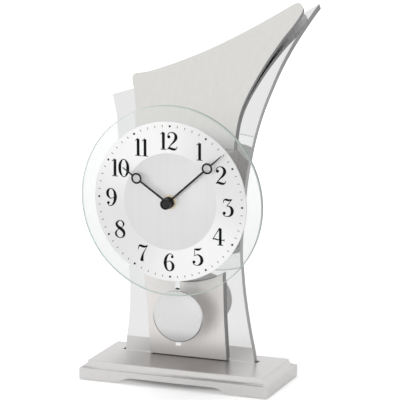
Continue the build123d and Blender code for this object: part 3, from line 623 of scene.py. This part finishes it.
def cut_edge(name, level, high_level):
    """The cut edge of a board: a mottled grey core under a thin lacquer, darker or not at the top."""
    shades = (grey(level - 10), grey(level + 10))
    edge = mottled(name, grey(level), 0.42, 400.0, shades, (0.36, 0.12), 3.0, 0.2)
    high = edge.mix(edge.mottle, grey(high_level - 10), grey(high_level + 10))
    at_top = edge.height().smooth_step(*edge_turns)
    edge.set("Base Color", edge.mix(at_top, edge.shade, high))
    return edge


plate_edge = cut_edge("rear_plate_edge", 168, 144)
panel_edge = cut_edge("front_panel_edge", 138, 138)
board_back = mottled("grey_board_back", grey(170), 0.5, 260.0, (grey(160), grey(178)), (0.45, 0.12),
                     3.0, 0.3)
panel_back = mottled("grey_panel_back", grey(150), 0.55, 260.0, (grey(142), grey(160)), (0.50, 0.12), 3.0)
# Painted shade where the gap behind the panel is narrow, painted light where it opens at the top.
painted_gap_shade = panel_back.height().smooth_step(*gap_closes)
painted_open_light = panel_back.height().smooth_step(*gap_opens)
shaded_back = panel_back.mix(painted_gap_shade, panel_back.shade, grey(58))
panel_back.set("Base Color", panel_back.mix(painted_open_light, shaded_back, grey(226)))


def brushed(name, colour, roughness, metallic=1.0, streak=(1600, 1600, 9), foot=1.0):
    """A brushed metal face with scratches along Z, and a painted reflection of the base that darkens its
    foot by a share.
    """
    metal = Finish(name, colour, roughness, metallic)
    scratches = metal.noise(metal.place(streak), 1.0, 3.0, 0.6)
    broad = metal.noise(metal.place((180, 180, 3)), 1.0, 2.0)
    shade = scratches * 0.6 + broad * 0.4
    darker = [v * 0.90 for v in colour]
    lighter = [min(v * 1.08, 1.0) for v in colour]
    face_colour = metal.mix(shade, darker, lighter)
    # Painted reflection of the base: the face is darker near its foot, by a share.
    if foot < 1:
        above_painted_foot = metal.height().smooth_step(*painted_foot_fades)
        face_colour = metal.mix(above_painted_foot, [v * foot for v in colour], face_colour)
    metal.set("Base Color", face_colour)
    metal.set("Roughness", roughness - 0.06 + scratches * 0.12)
    metal.bump(scratches, 0.12, 0.0002)
    return metal


brushed_face = brushed("brushed_silver_board", tint(229, 228, 225), 0.34)
# The lower panel has the painted reflection of the base at its foot.
brushed_low_face = brushed("brushed_silver_low_board", tint(229, 225, 223), 0.40, 0.3, foot=0.63)

# %% Rear plate
back_plate = draw_outline("rear_plate", [plate_left, plate_top, plate_right,
                                         [plate_right[-1], plate_left[0]]])
window_half_w = 33 * mm
window_low = 150.5 * mm
window_high = 225.5 * mm
for x in (-window_half_w, window_half_w):
    cut(back_plate, (x, 0, 0), (1, 0, 0))
for z in (window_low, window_high):
    cut(back_plate, (0, 0, z), (0, 0, 1))


def in_window(face):
    middle = face.calc_center_median()
    return abs(middle.x) < window_half_w and window_low < middle.z < window_high


pick(back_plate, "faces", in_window)
bpy.ops.mesh.delete(type="FACE")
plate_top_z = 379 * mm
bend_board(back_plate, plate_depth, bend_z, plate_top_z)
thicken(back_plate, plate_t, [mirror_face, plate_edge, board_back])
break_edges(back_plate)
dress(back_plate, [], "clock_stand", "polished_board", "back_plate")

# %% Upper front panel
housing_top = 239 * mm
panel_low = housing_top + 0.2 * mm
panel_top_z = 392 * mm
corner_r = 4 * mm
tip_r = 7 * mm
left_corner = round_corner(panel_left[-2], panel_left[-1], panel_top[1], corner_r)
tip = round_corner(panel_top[-2], panel_top[-1], panel_right[1], tip_r)
around = panel_left[:-1] + left_corner + panel_top[1:-1] + tip + panel_right[1:]
upper_panel = draw_outline("upper_front_panel", [around, [panel_right[-1], panel_left[0]]])
cut(upper_panel, (0, 0, panel_low), (0, 0, 1), clear_inner=True)
bend_board(upper_panel, panel_depth, panel_low + 1 * mm, panel_top_z)
thicken(upper_panel, panel_t, [brushed_face, panel_edge, panel_back])
break_edges(upper_panel)
dress(upper_panel, [], "clock_stand", "brushed_board", "upper_panel")

# %% Lower front panel
hollow_r = 78.5 * mm
hollow_x = -7.5 * mm
hollow_z = base_top + 80 * mm + hollow_r
blank_top = 125 * mm
base_seam = 0.9 * mm
lower_panel = draw_outline("lower_front_panel", [panel_left, panel_top, panel_right,
                                                 [panel_right[-1], panel_left[0]]])
cut(lower_panel, (0, 0, blank_top), (0, 0, 1), clear_outer=True)
cut(lower_panel, (0, 0, base_top + base_seam), (0, 0, 1), clear_inner=True)
leave()
for vertex in lower_panel.data.vertices:
    vertex.co.y = plate_front - panel_t
thicken(lower_panel, panel_t, [brushed_low_face, panel_edge, panel_back])
hollow_cutter = settle(round_bar(256, hollow_r, 20 * mm, (hollow_x, 10 * mm, hollow_z)))
finish_with(lower_panel, "BOOLEAN", object=hollow_cutter, operation="DIFFERENCE", solver="EXACT")
bpy.data.objects.remove(hollow_cutter)
give_second_finish(lower_panel, lambda face: abs(face.normal.y) < 0.5)
break_edges(lower_panel)
dress(lower_panel, [], "clock_stand", "brushed_board", "lower_panel")


# %% [markdown]
# ## The base
# The base is a moulded block in silver lacquer with fine metal flakes. It has a hollow moulding
# round its top, a low arch below it, and a slot that the rear board stands in. It could be put
# together from strips, but a block is truer: bevel the top edges with a hollow profile, slice the
# block where the arch changes, lift the underside, and push the slot down from the top. Its top
# mirrors the dark foot of the panel, and that reflection is painted as a darker patch, as on the panel.

# %% Finish of the base
lacquer = Finish("silver_lacquer", grey(206), 0.26, 0.85, Coat_Weight=0.2, Coat_Roughness=0.08)
flakes = lacquer.noise(lacquer.place(), 5200.0, 1.0).smooth_step(0.30, 0.72)
clouds = lacquer.noise(lacquer.place(), 700.0, 2.0)
plain = lacquer.mix(flakes * 0.7 + clouds * 0.3, tint(206, 204, 203), tint(234, 232, 231))
panel_middle = -6 * mm
painted_reflection_sides = (34 * mm, 84 * mm)
painted_reflection_front = (14 * mm, 8 * mm)
top_band = (base_top - 1.5 * mm, base_top - 0.1 * mm)
aside, back, up = lacquer.parts(lacquer.place(middle=(panel_middle, 0, 0)))
beside_panel = aside.maths("ABSOLUTE", aside).smooth_step(*painted_reflection_sides)
on_top = up.smooth_step(*top_band)
before_panel = back.smooth_step(*painted_reflection_front)
# Painted reflection of the panel's foot: the top of the base is darker in front of the panel.
painted_panel_reflection = (1 - beside_panel) * on_top * before_panel * (0.82 + clouds * 0.18)
lacquer.set("Base Color", lacquer.mix(painted_panel_reflection, plain, tint(170, 166, 163)))
lacquer.set("Roughness", 0.28 + flakes * 0.12)
lacquer.bump(clouds, 0.05, 0.0002)

# %% Base block and hollow moulding
base_w = 205 * mm
base_d = 93 * mm
foot_t = 1 * mm
cove_r = 7 * mm
hollow_profile = 0.0858
base_h = base_top - foot_t
bpy.ops.object.select_all(action="DESELECT")
bpy.ops.mesh.primitive_cube_add(size=1, location=(0, 0, foot_t + base_h / 2),
                                scale=(base_w, base_d, base_h))
base = settle(bpy.context.object, "base_block")
pick(base, "edges", lambda edge: all(v.co.z > base_top - 1 * mm for v in edge.verts))
bpy.ops.mesh.bevel(offset=cove_r, segments=14, profile=hollow_profile, affect="EDGES")

# %% Arch below the base
arch_half = 64 * mm
arch_end = 20 * mm
arch_h = 5.5 * mm
ogee_steps = 10
rises = {}
for i in range(ogee_steps + 1):
    t = i / ogee_steps
    x = arch_half - arch_end * (1.5 * t * (1 - t) + t ** 3)
    rises[x] = arch_h * (0.45 * (1 - t) ** 2 * t + 3 * (1 - t) * t ** 2 + t ** 3)
    for side in (-1, 1):
        cut(base, (side * x, 0, 0), (1, 0, 0))
leave()
for vertex in base.data.vertices:
    if vertex.co.z < foot_t + 0.01 * mm and abs(vertex.co.x) < arch_half + 0.01 * mm:
        nearest = min(rises, key=lambda x: abs(x - abs(vertex.co.x)))
        vertex.co.z += rises[nearest]

# %% Slot and screw holes
slot = (-78.7 * mm, 71 * mm, plate_front, plate_front + plate_t)
slot_depth = 8 * mm
for x in slot[:2]:
    cut(base, (x, 0, 0), (1, 0, 0))
for y in slot[2:]:
    cut(base, (0, y, 0), (0, 1, 0))


def in_slot(face):
    middle = face.calc_center_median()
    inside = slot[0] < middle.x < slot[1] and slot[2] < middle.y < slot[3]
    return inside and middle.z > base_top - 0.1 * mm


pick(base, "faces", in_slot)
bpy.ops.mesh.extrude_region_move(TRANSFORM_OT_translate={"value": (0, 0, -slot_depth)})
leave()
screw_spots = [-48 * mm, -4 * mm, 40 * mm]
arch_top = foot_t + arch_h
head_hole = (3.2 * mm, arch_top + 1.8 * mm)
thread_hole = (1.55 * mm, base_top - 6 * mm)
for x in screw_spots:
    for radius, top in (head_hole, thread_hole):
        low = arch_top - 3 * mm
        bpy.ops.mesh.primitive_cylinder_add(vertices=48, radius=radius, depth=top - low,
                                            location=(x, plate_front + plate_t / 2, (top + low) / 2))
        drill = settle(bpy.context.object, "drill")
        finish_with(base, "BOOLEAN", object=drill, operation="DIFFERENCE", solver="EXACT")
        bpy.data.objects.remove(drill)
finish_with(base, "BEVEL", width=0.5 * mm, segments=3, limit_method="ANGLE", angle_limit=radians(48))
smooth(base, 40)
finish_with(base, "WEIGHTED_NORMAL", weight=100, keep_sharp=True)
dress(base, lacquer, "clock_stand", "silver_lacquer", "base")

# %% [markdown]
# ## Turned pieces
# The glass, the dial, the nut, the hub cap and the pendulum's disc are all round. A cylinder with
# bevelled edges would do for one of them, but a turned profile suits them all: half of the
# section is drawn as a line of points and spun about the axis, as on a lathe.

# %% Turning helper
hand_z = 195.5 * mm


def turned(name, x, z, profile, steps):
    """Spin a section, given as radius and depth pairs in millimetres, about an axis along Y."""
    mesh = bpy.data.meshes.new(name)
    points = [(x + r * mm, y * mm, z) for r, y in profile]
    mesh.from_pydata(points, [(i, i + 1) for i in range(len(points) - 1)], [])
    piece = bpy.data.objects.new(name, mesh)
    bpy.context.scene.collection.objects.link(piece)
    pick(piece, "verts", lambda vertex: True)
    bpy.ops.mesh.spin(steps=steps, angle=2 * pi, center=(x, 0, z), axis=(0, 1, 0))
    tidy_mesh(piece)
    smooth(piece)
    return piece


def rounded(r, y, size, toward_r, toward_y, count=4):
    """Points that round the corner of a section, from one side of it to the other."""
    points = []
    for i in range(count + 1):
        a = pi / 2 * i / count
        points.append((r + toward_r * size * (1 - sin(a)), y + toward_y * size * (1 - cos(a))))
    return points


# %% [markdown]
# ### Glass
# The glass is a clear round pane, 4.5 mm thick with ground edges. It is faintly green, which shows
# only at the rim, where the eye looks through much more of it. Real glass throws a coloured
# shadow that takes many samples to find, so light for matt surfaces passes straight through.

# %% Glass
def let_light_through(finish, colour):
    """Let light on its way to a matt surface pass straight through a glass, in a pale tint."""
    to_lamp = finish.ray("Shadow")
    straight = to_lamp.maths("MAXIMUM", to_lamp, finish.ray("Diffuse"))
    passing = finish.node("ShaderNodeBsdfTransparent", None, {"Color": (*colour, 1)})
    finish.blend_shaders("ShaderNodeMixShader", passing, straight)


clear_glass = Finish("clear_glass", tint(250, 251, 251), 0.0, 0.0, Transmission_Weight=1.0, IOR=1.45)
breath = clear_glass.noise(clear_glass.place(), 60.0, 2.0)
clear_glass.set("Roughness", breath * 0.008)
let_light_through(clear_glass, tint(251, 253, 252))

ground_glass = mottled("ground_glass_rim", tint(214, 228, 222), 0.30, 1500.0,
                       (tint(202, 220, 212), tint(224, 236, 230)), (0.24, 0.14),
                       Transmission_Weight=0.55, IOR=1.45)
let_light_through(ground_glass, tint(236, 244, 240))

glass = turned("glass_pane", 0, hand_z, [(0, -48.5), (96.5, -48.5), (97.3, -47.7), (97.3, -44.8),
                                         (96.5, -44), (0, -44)], 256)
dress(glass, [clear_glass, ground_glass], "clock_stand", "clear_glass", "glass_disc")
give_second_finish(glass, lambda face: abs(face.normal.y) < 0.9)

# %% [markdown]
# ### Dial
# The dial is a silver metal disc. Its ring was brushed in circles, so the light lies on it in
# soft fans that turn about the hands, and the disc in its middle was brushed straight down. The
# fans could come from an anisotropic shader, but an exported model loses that, so they are
# drawn: the direction from the middle gives each fan its place, and fine rings break them up.

# %% Finish of the dial
dial_ring = Finish("spun_silver_dial", grey(240), 0.42, 0.25)
across, _, above = dial_ring.parts(dial_ring.place(middle=(0, 0, hand_z)))
bearing = across.maths("ARCTAN2", above, across)
out = dial_ring.length(dial_ring.place((1, 0, 1), (0, 0, hand_z)))
rings = dial_ring.node("ShaderNodeTexNoise", {"noise_dimensions": "1D"},
                       {"W": out, "Scale": 4200.0, "Detail": 2.0})
fan_turn = bearing * 2 - 2 * radians(30)
fans = fan_turn.maths("COSINE", fan_turn)
shade = fans.smooth_step(-1.0, 1.0) * 0.75 + rings * 0.25
dial_ring.set("Base Color", dial_ring.mix(shade, grey(238), grey(214)))
dial_ring.set("Roughness", 0.38 + rings * 0.10)
dial_ring.bump(rings, 0.10, 0.0001)

dial_middle = brushed("brushed_dial_centre", grey(219), 0.40, 0.45, (2400, 2400, 14))

# %% Dial
dial = turned("dial_plate", 0, hand_z, [(0, -49.7), (49.4, -49.7), (49.4, -50), (81.1, -50),
                                        (81.5, -49.6), (81.5, -48.8), (81.3, -48.6), (0, -48.6)], 256)
dial_back = mottled("pale_dial_back", grey(228), 0.5, 1200.0, (grey(222), grey(234)), (0.44, 0.12))
dress(dial, [dial_ring, dial_back], "clock_stand", "dial_silver", "dial_disc")
give_second_finish(dial, lambda face: face.normal.y > 0.5)
centre = turned("dial_centre_plate", 0, hand_z, [(0, -50), (49.3, -50), (49.38, -49.95),
                                                 (49.38, -49.7), (0, -49.7)], 256)
dress(centre, dial_middle, "clock_stand", "dial_centre_grey", "dial_centre")

# %% [markdown]
# ### Hour and minute marks
# The printed marks are a black dot at each hour and a short grey dash at each minute. One dot is
# a flat disc and one dash is a thin block. The dot and a group of four dashes are spun round the
# dial as copies, so that the dashes leave room for the dots.

# %% Printed marks
print_front = -50.1 * mm
print_back = -50 * mm
mark_r = 76.9 * mm
dot_r = 1.1 * mm
dash_w = 0.7 * mm
dash_h = 2.1 * mm

ink = mottled("black_print", grey(8), 0.7, 900.0, (grey(4), grey(12)), (0.64, 0.12),
              Specular_IOR_Level=0.2)
pale_ink = mottled("grey_print", grey(72), 0.55, 900.0, (grey(62), grey(84)))


def repeat_round(piece, copies, step):
    """Copy the selected mesh round the dial, a step of degrees at a time."""
    pick(piece, "faces", lambda face: True)
    bpy.ops.mesh.spin(steps=copies, dupli=True, angle=radians(step) * copies,
                      center=(0, 0, hand_z), axis=(0, 1, 0))
    leave()


bpy.ops.object.select_all(action="DESELECT")
bpy.ops.mesh.primitive_circle_add(vertices=24, radius=dot_r, fill_type="NGON",
                                  location=(0, print_front, hand_z + mark_r), rotation=(pi / 2, 0, 0))
dots = settle(bpy.context.object, "hour_dots")
pick(dots, "faces", lambda face: True)
bpy.ops.mesh.extrude_region_move(TRANSFORM_OT_translate={"value": (0, print_back - print_front, 0)})
tidy_mesh(dots)
repeat_round(dots, 11, 30)
dress(dots, ink, "clock_stand", "print_ink", "dial_marks")

spots = []
for step in range(1, 5):
    turn = radians(6 * step)
    bpy.ops.mesh.primitive_cube_add(size=1, location=(mark_r * sin(turn), (print_front + print_back) / 2,
                                                      hand_z + mark_r * cos(turn)),
                                    rotation=(0, turn, 0),
                                    scale=(dash_w, print_back - print_front, dash_h))
    spots.append(bpy.context.object)
dashes = join(spots, "minute_dashes")
pick(dashes, "edges", lambda edge: abs(edge.verts[0].co.y - edge.verts[1].co.y) > 0.05 * mm)
bpy.ops.mesh.bevel(offset=0.1 * mm, segments=1, affect="EDGES")
leave()
repeat_round(dashes, 11, 30)
dress(dashes, pale_ink, "clock_stand", "print_ink", "dial_marks")

# %% [markdown]
# ### Numerals
# The numerals are in an old style with thin hairlines, swelling curves and round ends. A font
# would need a file, so each figure is drawn as strokes: points with a half width, in shares of
# the figure's height. A stroke becomes a tube whose radius swells from point to point, and the
# tube is pressed flat to the thickness of the print.

# %% Strokes of the figures
figure_h = 18.2 * mm
figure_r = 62 * mm
figures = {
    "0": [("loop", [(0.40, 0.99, 0.016), (0.24, 0.86, 0.050), (0.16, 0.50, 0.076),
                    (0.24, 0.14, 0.050), (0.40, 0.01, 0.016), (0.56, 0.14, 0.050),
                    (0.64, 0.50, 0.076), (0.56, 0.86, 0.050)])],
    "1": [("line", [(0.30, 0.04, 0.070), (0.30, 0.95, 0.070)]),
          ("line", [(0.12, 0.84, 0.012), (0.20, 0.90, 0.018), (0.29, 0.975, 0.030)]),
          ("line", [(0.13, 0.015, 0.016), (0.47, 0.015, 0.016)])],
    "2": [("ball", [(0.17, 0.73, 0.078)]),
          ("line", [(0.105, 0.78, 0.016), (0.16, 0.91, 0.018), (0.34, 0.985, 0.020),
                    (0.52, 0.91, 0.052), (0.59, 0.73, 0.080), (0.51, 0.53, 0.058),
                    (0.32, 0.32, 0.030), (0.10, 0.05, 0.014)]),
          ("line", [(0.09, 0.045, 0.016), (0.20, 0.095, 0.050), (0.36, 0.065, 0.062),
                    (0.52, 0.055, 0.050), (0.62, 0.11, 0.020), (0.66, 0.22, 0.012)])],
    "3": [("line", [(0.12, 0.76, 0.012), (0.15, 0.91, 0.024), (0.26, 0.945, 0.050),
                    (0.42, 0.925, 0.050), (0.54, 0.955, 0.030), (0.61, 0.985, 0.013)]),
          ("line", [(0.61, 0.985, 0.013), (0.46, 0.78, 0.013), (0.30, 0.585, 0.014)]),
          ("line", [(0.30, 0.585, 0.016), (0.44, 0.590, 0.028), (0.58, 0.49, 0.066),
                    (0.63, 0.31, 0.080), (0.54, 0.10, 0.052), (0.35, 0.012, 0.018),
                    (0.18, 0.045, 0.016), (0.095, 0.14, 0.016)]),
          ("ball", [(0.16, 0.185, 0.078)])],
    "4": [("line", [(0.50, 0.04, 0.066), (0.50, 0.955, 0.066)]),
          ("line", [(0.47, 0.975, 0.030), (0.27, 0.66, 0.016), (0.06, 0.325, 0.014)]),
          ("line", [(0.06, 0.325, 0.016), (0.18, 0.345, 0.030), (0.34, 0.315, 0.026),
                    (0.72, 0.30, 0.018)]),
          ("line", [(0.725, 0.24, 0.013), (0.725, 0.38, 0.013)]),
          ("line", [(0.33, 0.015, 0.016), (0.67, 0.015, 0.016)])],
    "5": [("line", [(0.19, 0.94, 0.015), (0.17, 0.52, 0.013)]),
          ("line", [(0.18, 0.93, 0.016), (0.29, 0.905, 0.050), (0.44, 0.915, 0.052),
                    (0.55, 0.965, 0.026), (0.60, 1.01, 0.012)]),
          ("line", [(0.17, 0.52, 0.013), (0.32, 0.605, 0.020), (0.50, 0.555, 0.052),
                    (0.62, 0.33, 0.082), (0.53, 0.10, 0.052), (0.34, 0.012, 0.018),
                    (0.17, 0.045, 0.016), (0.09, 0.14, 0.016)]),
          ("ball", [(0.155, 0.185, 0.076)])],
    "6": [("ball", [(0.56, 0.82, 0.070)]),
          ("line", [(0.615, 0.86, 0.015), (0.54, 0.955, 0.016), (0.42, 0.985, 0.018),
                    (0.26, 0.86, 0.046), (0.15, 0.58, 0.074), (0.15, 0.34, 0.076),
                    (0.24, 0.10, 0.044), (0.39, 0.012, 0.017), (0.54, 0.09, 0.048),
                    (0.61, 0.29, 0.074), (0.54, 0.48, 0.048), (0.40, 0.565, 0.018),
                    (0.25, 0.50, 0.013), (0.16, 0.38, 0.012)])],
    "7": [("line", [(0.10, 0.71, 0.012), (0.125, 0.86, 0.022), (0.20, 0.935, 0.050),
                    (0.36, 0.905, 0.060), (0.52, 0.90, 0.044), (0.66, 0.985, 0.013)]),
          ("line", [(0.66, 0.985, 0.013), (0.52, 0.74, 0.016), (0.38, 0.46, 0.040),
                    (0.32, 0.20, 0.076), (0.31, 0.06, 0.086)])],
    "8": [("loop", [(0.39, 0.985, 0.017), (0.24, 0.91, 0.036), (0.17, 0.77, 0.060),
                    (0.25, 0.63, 0.072), (0.42, 0.52, 0.078), (0.58, 0.38, 0.076),
                    (0.62, 0.23, 0.060), (0.54, 0.07, 0.034), (0.38, 0.012, 0.017),
                    (0.21, 0.07, 0.034), (0.12, 0.24, 0.048), (0.20, 0.41, 0.026),
                    (0.38, 0.54, 0.015), (0.54, 0.66, 0.020), (0.59, 0.79, 0.042),
                    (0.53, 0.92, 0.032)])],
}
figures["9"] = [(kind, [(0.76 - x, 1 - z, w) for x, z, w in points]) for kind, points in figures["6"]]
figure_w = {"0": 0.80, "1": 0.60, "2": 0.76, "3": 0.76, "4": 0.82, "5": 0.76, "6": 0.76, "7": 0.76,
            "8": 0.78, "9": 0.76}
closer = {10: 0.17, 11: 0.19, 12: 0.15}
nudges = {1: (0.9, 0), 2: (0.9, 0), 3: (0, -1.1), 4: (-1.4, 0), 5: (-1.1, 0), 6: (-0.9, 0),
          7: (1.7, -1.6), 8: (-0.3, -1.1), 9: (-1.6, 0), 11: (0.6, 0), 12: (-1.3, 0)}
bolder = 1.14
fuller = 0.004


# %% Drawing helpers
def draw_stroke(kind, points, left, low):
    """One stroke as a tube on a smooth curve, whose radius swells from point to point."""
    if kind == "ball":
        x, z, w = points[0]
        return round_bar(32, w * bolder * figure_h, 2 * mm, (left + x * figure_h, 0, low + z * figure_h))
    data = bpy.data.curves.new("stroke", "CURVE")
    data.dimensions = "3D"
    data.bevel_depth = 1
    data.bevel_resolution = 3
    data.resolution_u = 8
    data.use_fill_caps = True
    line = data.splines.new("BEZIER")
    line.radius_interpolation = "CARDINAL"
    line.bezier_points.add(len(points) - 1)
    line.use_cyclic_u = kind == "loop"
    for point, (x, z, w) in zip(line.bezier_points, points):
        point.co = (left + x * figure_h, 0, low + z * figure_h)
        point.handle_left_type = point.handle_right_type = "AUTO"
        point.radius = (w * bolder + fuller) * figure_h
    stroke = bpy.data.objects.new("stroke", data)
    bpy.context.scene.collection.objects.link(stroke)
    only(stroke)
    bpy.ops.object.convert(target="MESH")
    return stroke


def draw_numeral(number):
    """All strokes of a number, joined, pressed flat and set upright at its hour."""
    digits = str(number)
    tuck = closer.get(number, 0) * figure_h
    width = sum(figure_w[digit] for digit in digits) * figure_h - tuck
    hour = radians(30 * number)
    aside, above = nudges.get(number, (0, 0))
    left = figure_r * sin(hour) - width / 2 + aside * mm
    low = hand_z + figure_r * cos(hour) - figure_h / 2 + above * mm
    strokes = []
    for digit in digits:
        for kind, points in figures[digit]:
            strokes.append(draw_stroke(kind, points, left, low))
        left += figure_w[digit] * figure_h - tuck
    numeral = join(strokes, "numeral_" + digits)
    half = (print_back - print_front) / 2
    for vertex in numeral.data.vertices:
        vertex.co.y = (print_front + print_back) / 2 + max(-half, min(half, vertex.co.y))
    return numeral


# %% Numerals
for hour in range(1, 13):
    numeral = draw_numeral(hour)
    dress(numeral, ink, "clock_stand", "print_ink")

# %% [markdown]
# ### Hub
# A brass nut holds the movement to the dial, and a black cap covers the end of the hands' shaft.
# Both are turned, and the nut gets two flats for a spanner by pressing its sides in.

# %% Nut and cap
brass = mottled("pale_brass", tint(226, 210, 178), 0.28, 500.0,
                (tint(214, 198, 164), tint(236, 224, 198)), (0.22, 0.14), 3.0, 0.9)
nut_half = 6.2
nut = turned("dial_nut", 0, hand_z, [(0, -53), (nut_half, -53), (7, -52.4), (7, -50), (0, -50)], 96)
for vertex in nut.data.vertices:
    vertex.co.x = max(-nut_half * mm, min(nut_half * mm, vertex.co.x))
dress(nut, brass, "clock_stand", "pale_brass", "fixing_nut")

cap_black = mottled("glossy_black_cap", grey(16), 0.22, 800.0, (grey(10), grey(24)), (0.18, 0.10),
                    Specular_IOR_Level=0.4)
cap_profile = [(0, -63.5), (1.6, -63.5), (2.0, -63.8)]
cap_profile += rounded(5.5, -63.8, 1.2, -1, 1)[::-1] + [(5.5, -58.6), (5.3, -58.4), (0, -58.4)]
cap = turned("hub_cap", 0, hand_z, cap_profile, 96)
dress(cap, cap_black, "minute_shaft", "black_cap", "hub_cap")

# %% [markdown]
# ### Pendulum
# The pendulum is a thin flat rod with a round silver disc. The disc is pressed from sheet: it is
# slightly domed and has a narrow turned rim. The section is an arc of a large circle. Low down
# the dome mirrors the dark base, and that reflection is painted as a darker lower part, with a
# painted dark reflection along the lower rim. A black disc on the rod, just above the pendulum
# disc, stands in for the shade in the rod's hole.

# %% Pendulum disc
disc_z = 72.4 * mm
disc_r = 27
dome_r = 25.8
disc_back = mottled("pale_disc_back", grey(236), 0.4, 1200.0, (grey(232), grey(240)), (0.36, 0.08))
satin_disc = Finish("satin_silver_disc", grey(224), 0.36, 0.8)
grain = satin_disc.noise(satin_disc.place((900, 900, 500)), 1.0, 3.0, 0.6)
satin = satin_disc.mix(grain, grey(214), grey(232))
shade_ends = (disc_z - disc_r * mm, disc_z - 12 * mm)
low_half_ends = (disc_z - 12 * mm, disc_z + 8 * mm)
rim_starts = (25.6 * mm, 26.2 * mm)
reach = satin_disc.length(satin_disc.place((1, 0, 1), (0, 0, disc_z)))
# Painted reflection of the dark base on the lower dome, and a painted dark reflection along the lower
# rim.
painted_base_reflection = 1 - satin_disc.height().smooth_step(*shade_ends)
low_half = 1 - satin_disc.height().smooth_step(*low_half_ends)
painted_rim_reflection = reach.smooth_step(*rim_starts) * low_half
shaded = satin_disc.mix(painted_base_reflection, satin, grey(186))
satin_disc.set("Base Color", satin_disc.mix(painted_rim_reflection, shaded, grey(140)))
satin_disc.set("Roughness", 0.30 + grain * 0.12)
satin_disc.bump(grain, 0.12, 0.0002)
dome_steps = 12
dome_rise = 2.5
dome = []
for i in range(dome_steps + 1):
    share = i / dome_steps
    dome.append((dome_r * share, -29.9 - dome_rise * (1 - share ** 2)))
rim = [(26.1, -30.1), (26.7, -30.0), (disc_r, -29.7), (disc_r, -28.4), (26.8, -28.2), (0, -28.2)]
pendulum_disc = turned("pendulum_disc", 0, disc_z, dome + rim, 192)
dress(pendulum_disc, [satin_disc, disc_back], "pendulum", "pendulum_silver", "pendulum_disc")
give_second_finish(pendulum_disc, lambda face: face.normal.y > 0.5)

# A black disc on the rod stands in for the shade in the rod's hole, just above the pendulum disc.
hole_shade_z = 101.4 * mm
hole_shade_squeeze = 0.42
hole_shade_profile = [(0, -28.45), (2.2, -28.45), (2.4, -28.3), (2.4, -28.2), (0, -28.2)]
rod_hole_shade = turned("rod_hole_shade", 0, 0, hole_shade_profile, 48)
for vertex in rod_hole_shade.data.vertices:
    vertex.co.z = hole_shade_z + vertex.co.z * hole_shade_squeeze
dress(rod_hole_shade, ink, "pendulum", "print_ink")

# %% [markdown]
# ## The measured pieces that stay
# Screws, gears, the movement and the hanger already have their right shapes, so the measured
# pieces are kept and only get a finish. One helper makes a moulded plastic, another a metal.

# %% Plastics and metals
def plastic(name, colour, roughness, grain=1800.0):
    """A moulded plastic: an even colour with the fine grain of its mould."""
    shades = ([v * 0.93 for v in colour], [min(v * 1.05, 1) for v in colour])
    made = mottled(name, colour, roughness, grain, shades, (roughness - 0.04, 0.08))
    made.bump(made.mottle, 0.08, 0.0001)
    return made


def metal(name, colour, roughness, grain=900.0):
    """A plain metal with faint marks from its making."""
    shades = ([v * 0.90 for v in colour], colour)
    return mottled(name, colour, roughness, grain, shades, (roughness - 0.05, 0.10), 3.0, 1.0)


def keep(finish, *names):
    """Give measured pieces a finish."""
    for name in names:
        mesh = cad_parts[name].data
        mesh.materials.clear()
        mesh.materials.append(finish.material)
    print(finish.material.name, "on", ", ".join(names))


hand_lacquer = plastic("black_hand_lacquer", grey(6), 0.55, 1200.0)
keep(hand_lacquer, "hour_hand", "minute_hand")
keep(plastic("grey_moulded_housing", tint(152, 147, 145), 0.45), "movement_housing", "rear_cover")
keep(plastic("clear_grey_spacer", grey(206), 0.35), "panel_spacers")
keep(plastic("black_movement_plastic", grey(30), 0.42), "movement_case", "drive_case")
keep(plastic("white_gear_plastic", grey(232), 0.35), "hour_wheel", "change_wheel", "centre_wheel",
     "third_wheel", "second_wheel", "pendulum_hanger", "movement_back")
keep(plastic("black_knob_plastic", grey(26), 0.38), "setting_knob")
keep(plastic("black_rubber", grey(22), 0.75, 700.0), "rubber_washer")
keep(plastic("grey_felt", grey(96), 0.95, 2600.0), "base_feet")
keep(plastic("battery_jacket", grey(70), 0.32), "battery")
keep(plastic("green_circuit_board", tint(38, 92, 62), 0.45), "circuit_board")
keep(plastic("grey_magnet", grey(74), 0.5), "drive_magnet", "rotor")
keep(metal("bright_steel", grey(206), 0.26), "base_screws", "housing_screws", "panel_screws",
     "pivot_pin", "battery_contacts")
keep(metal("motor_steel", grey(168), 0.38), "stator")
keep(metal("copper_wire", tint(198, 118, 72), 0.34, 2400.0), "step_coil", "drive_coil")
keep(metal("arbor_brass", tint(212, 184, 120), 0.30), "minute_arbor")
keep(plastic("pale_rod_lacquer", grey(236), 0.40), "pendulum_rod", "disc_clip")

# %% Measure the sizes of the finished scene
bpy.context.view_layer.update()
low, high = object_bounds()
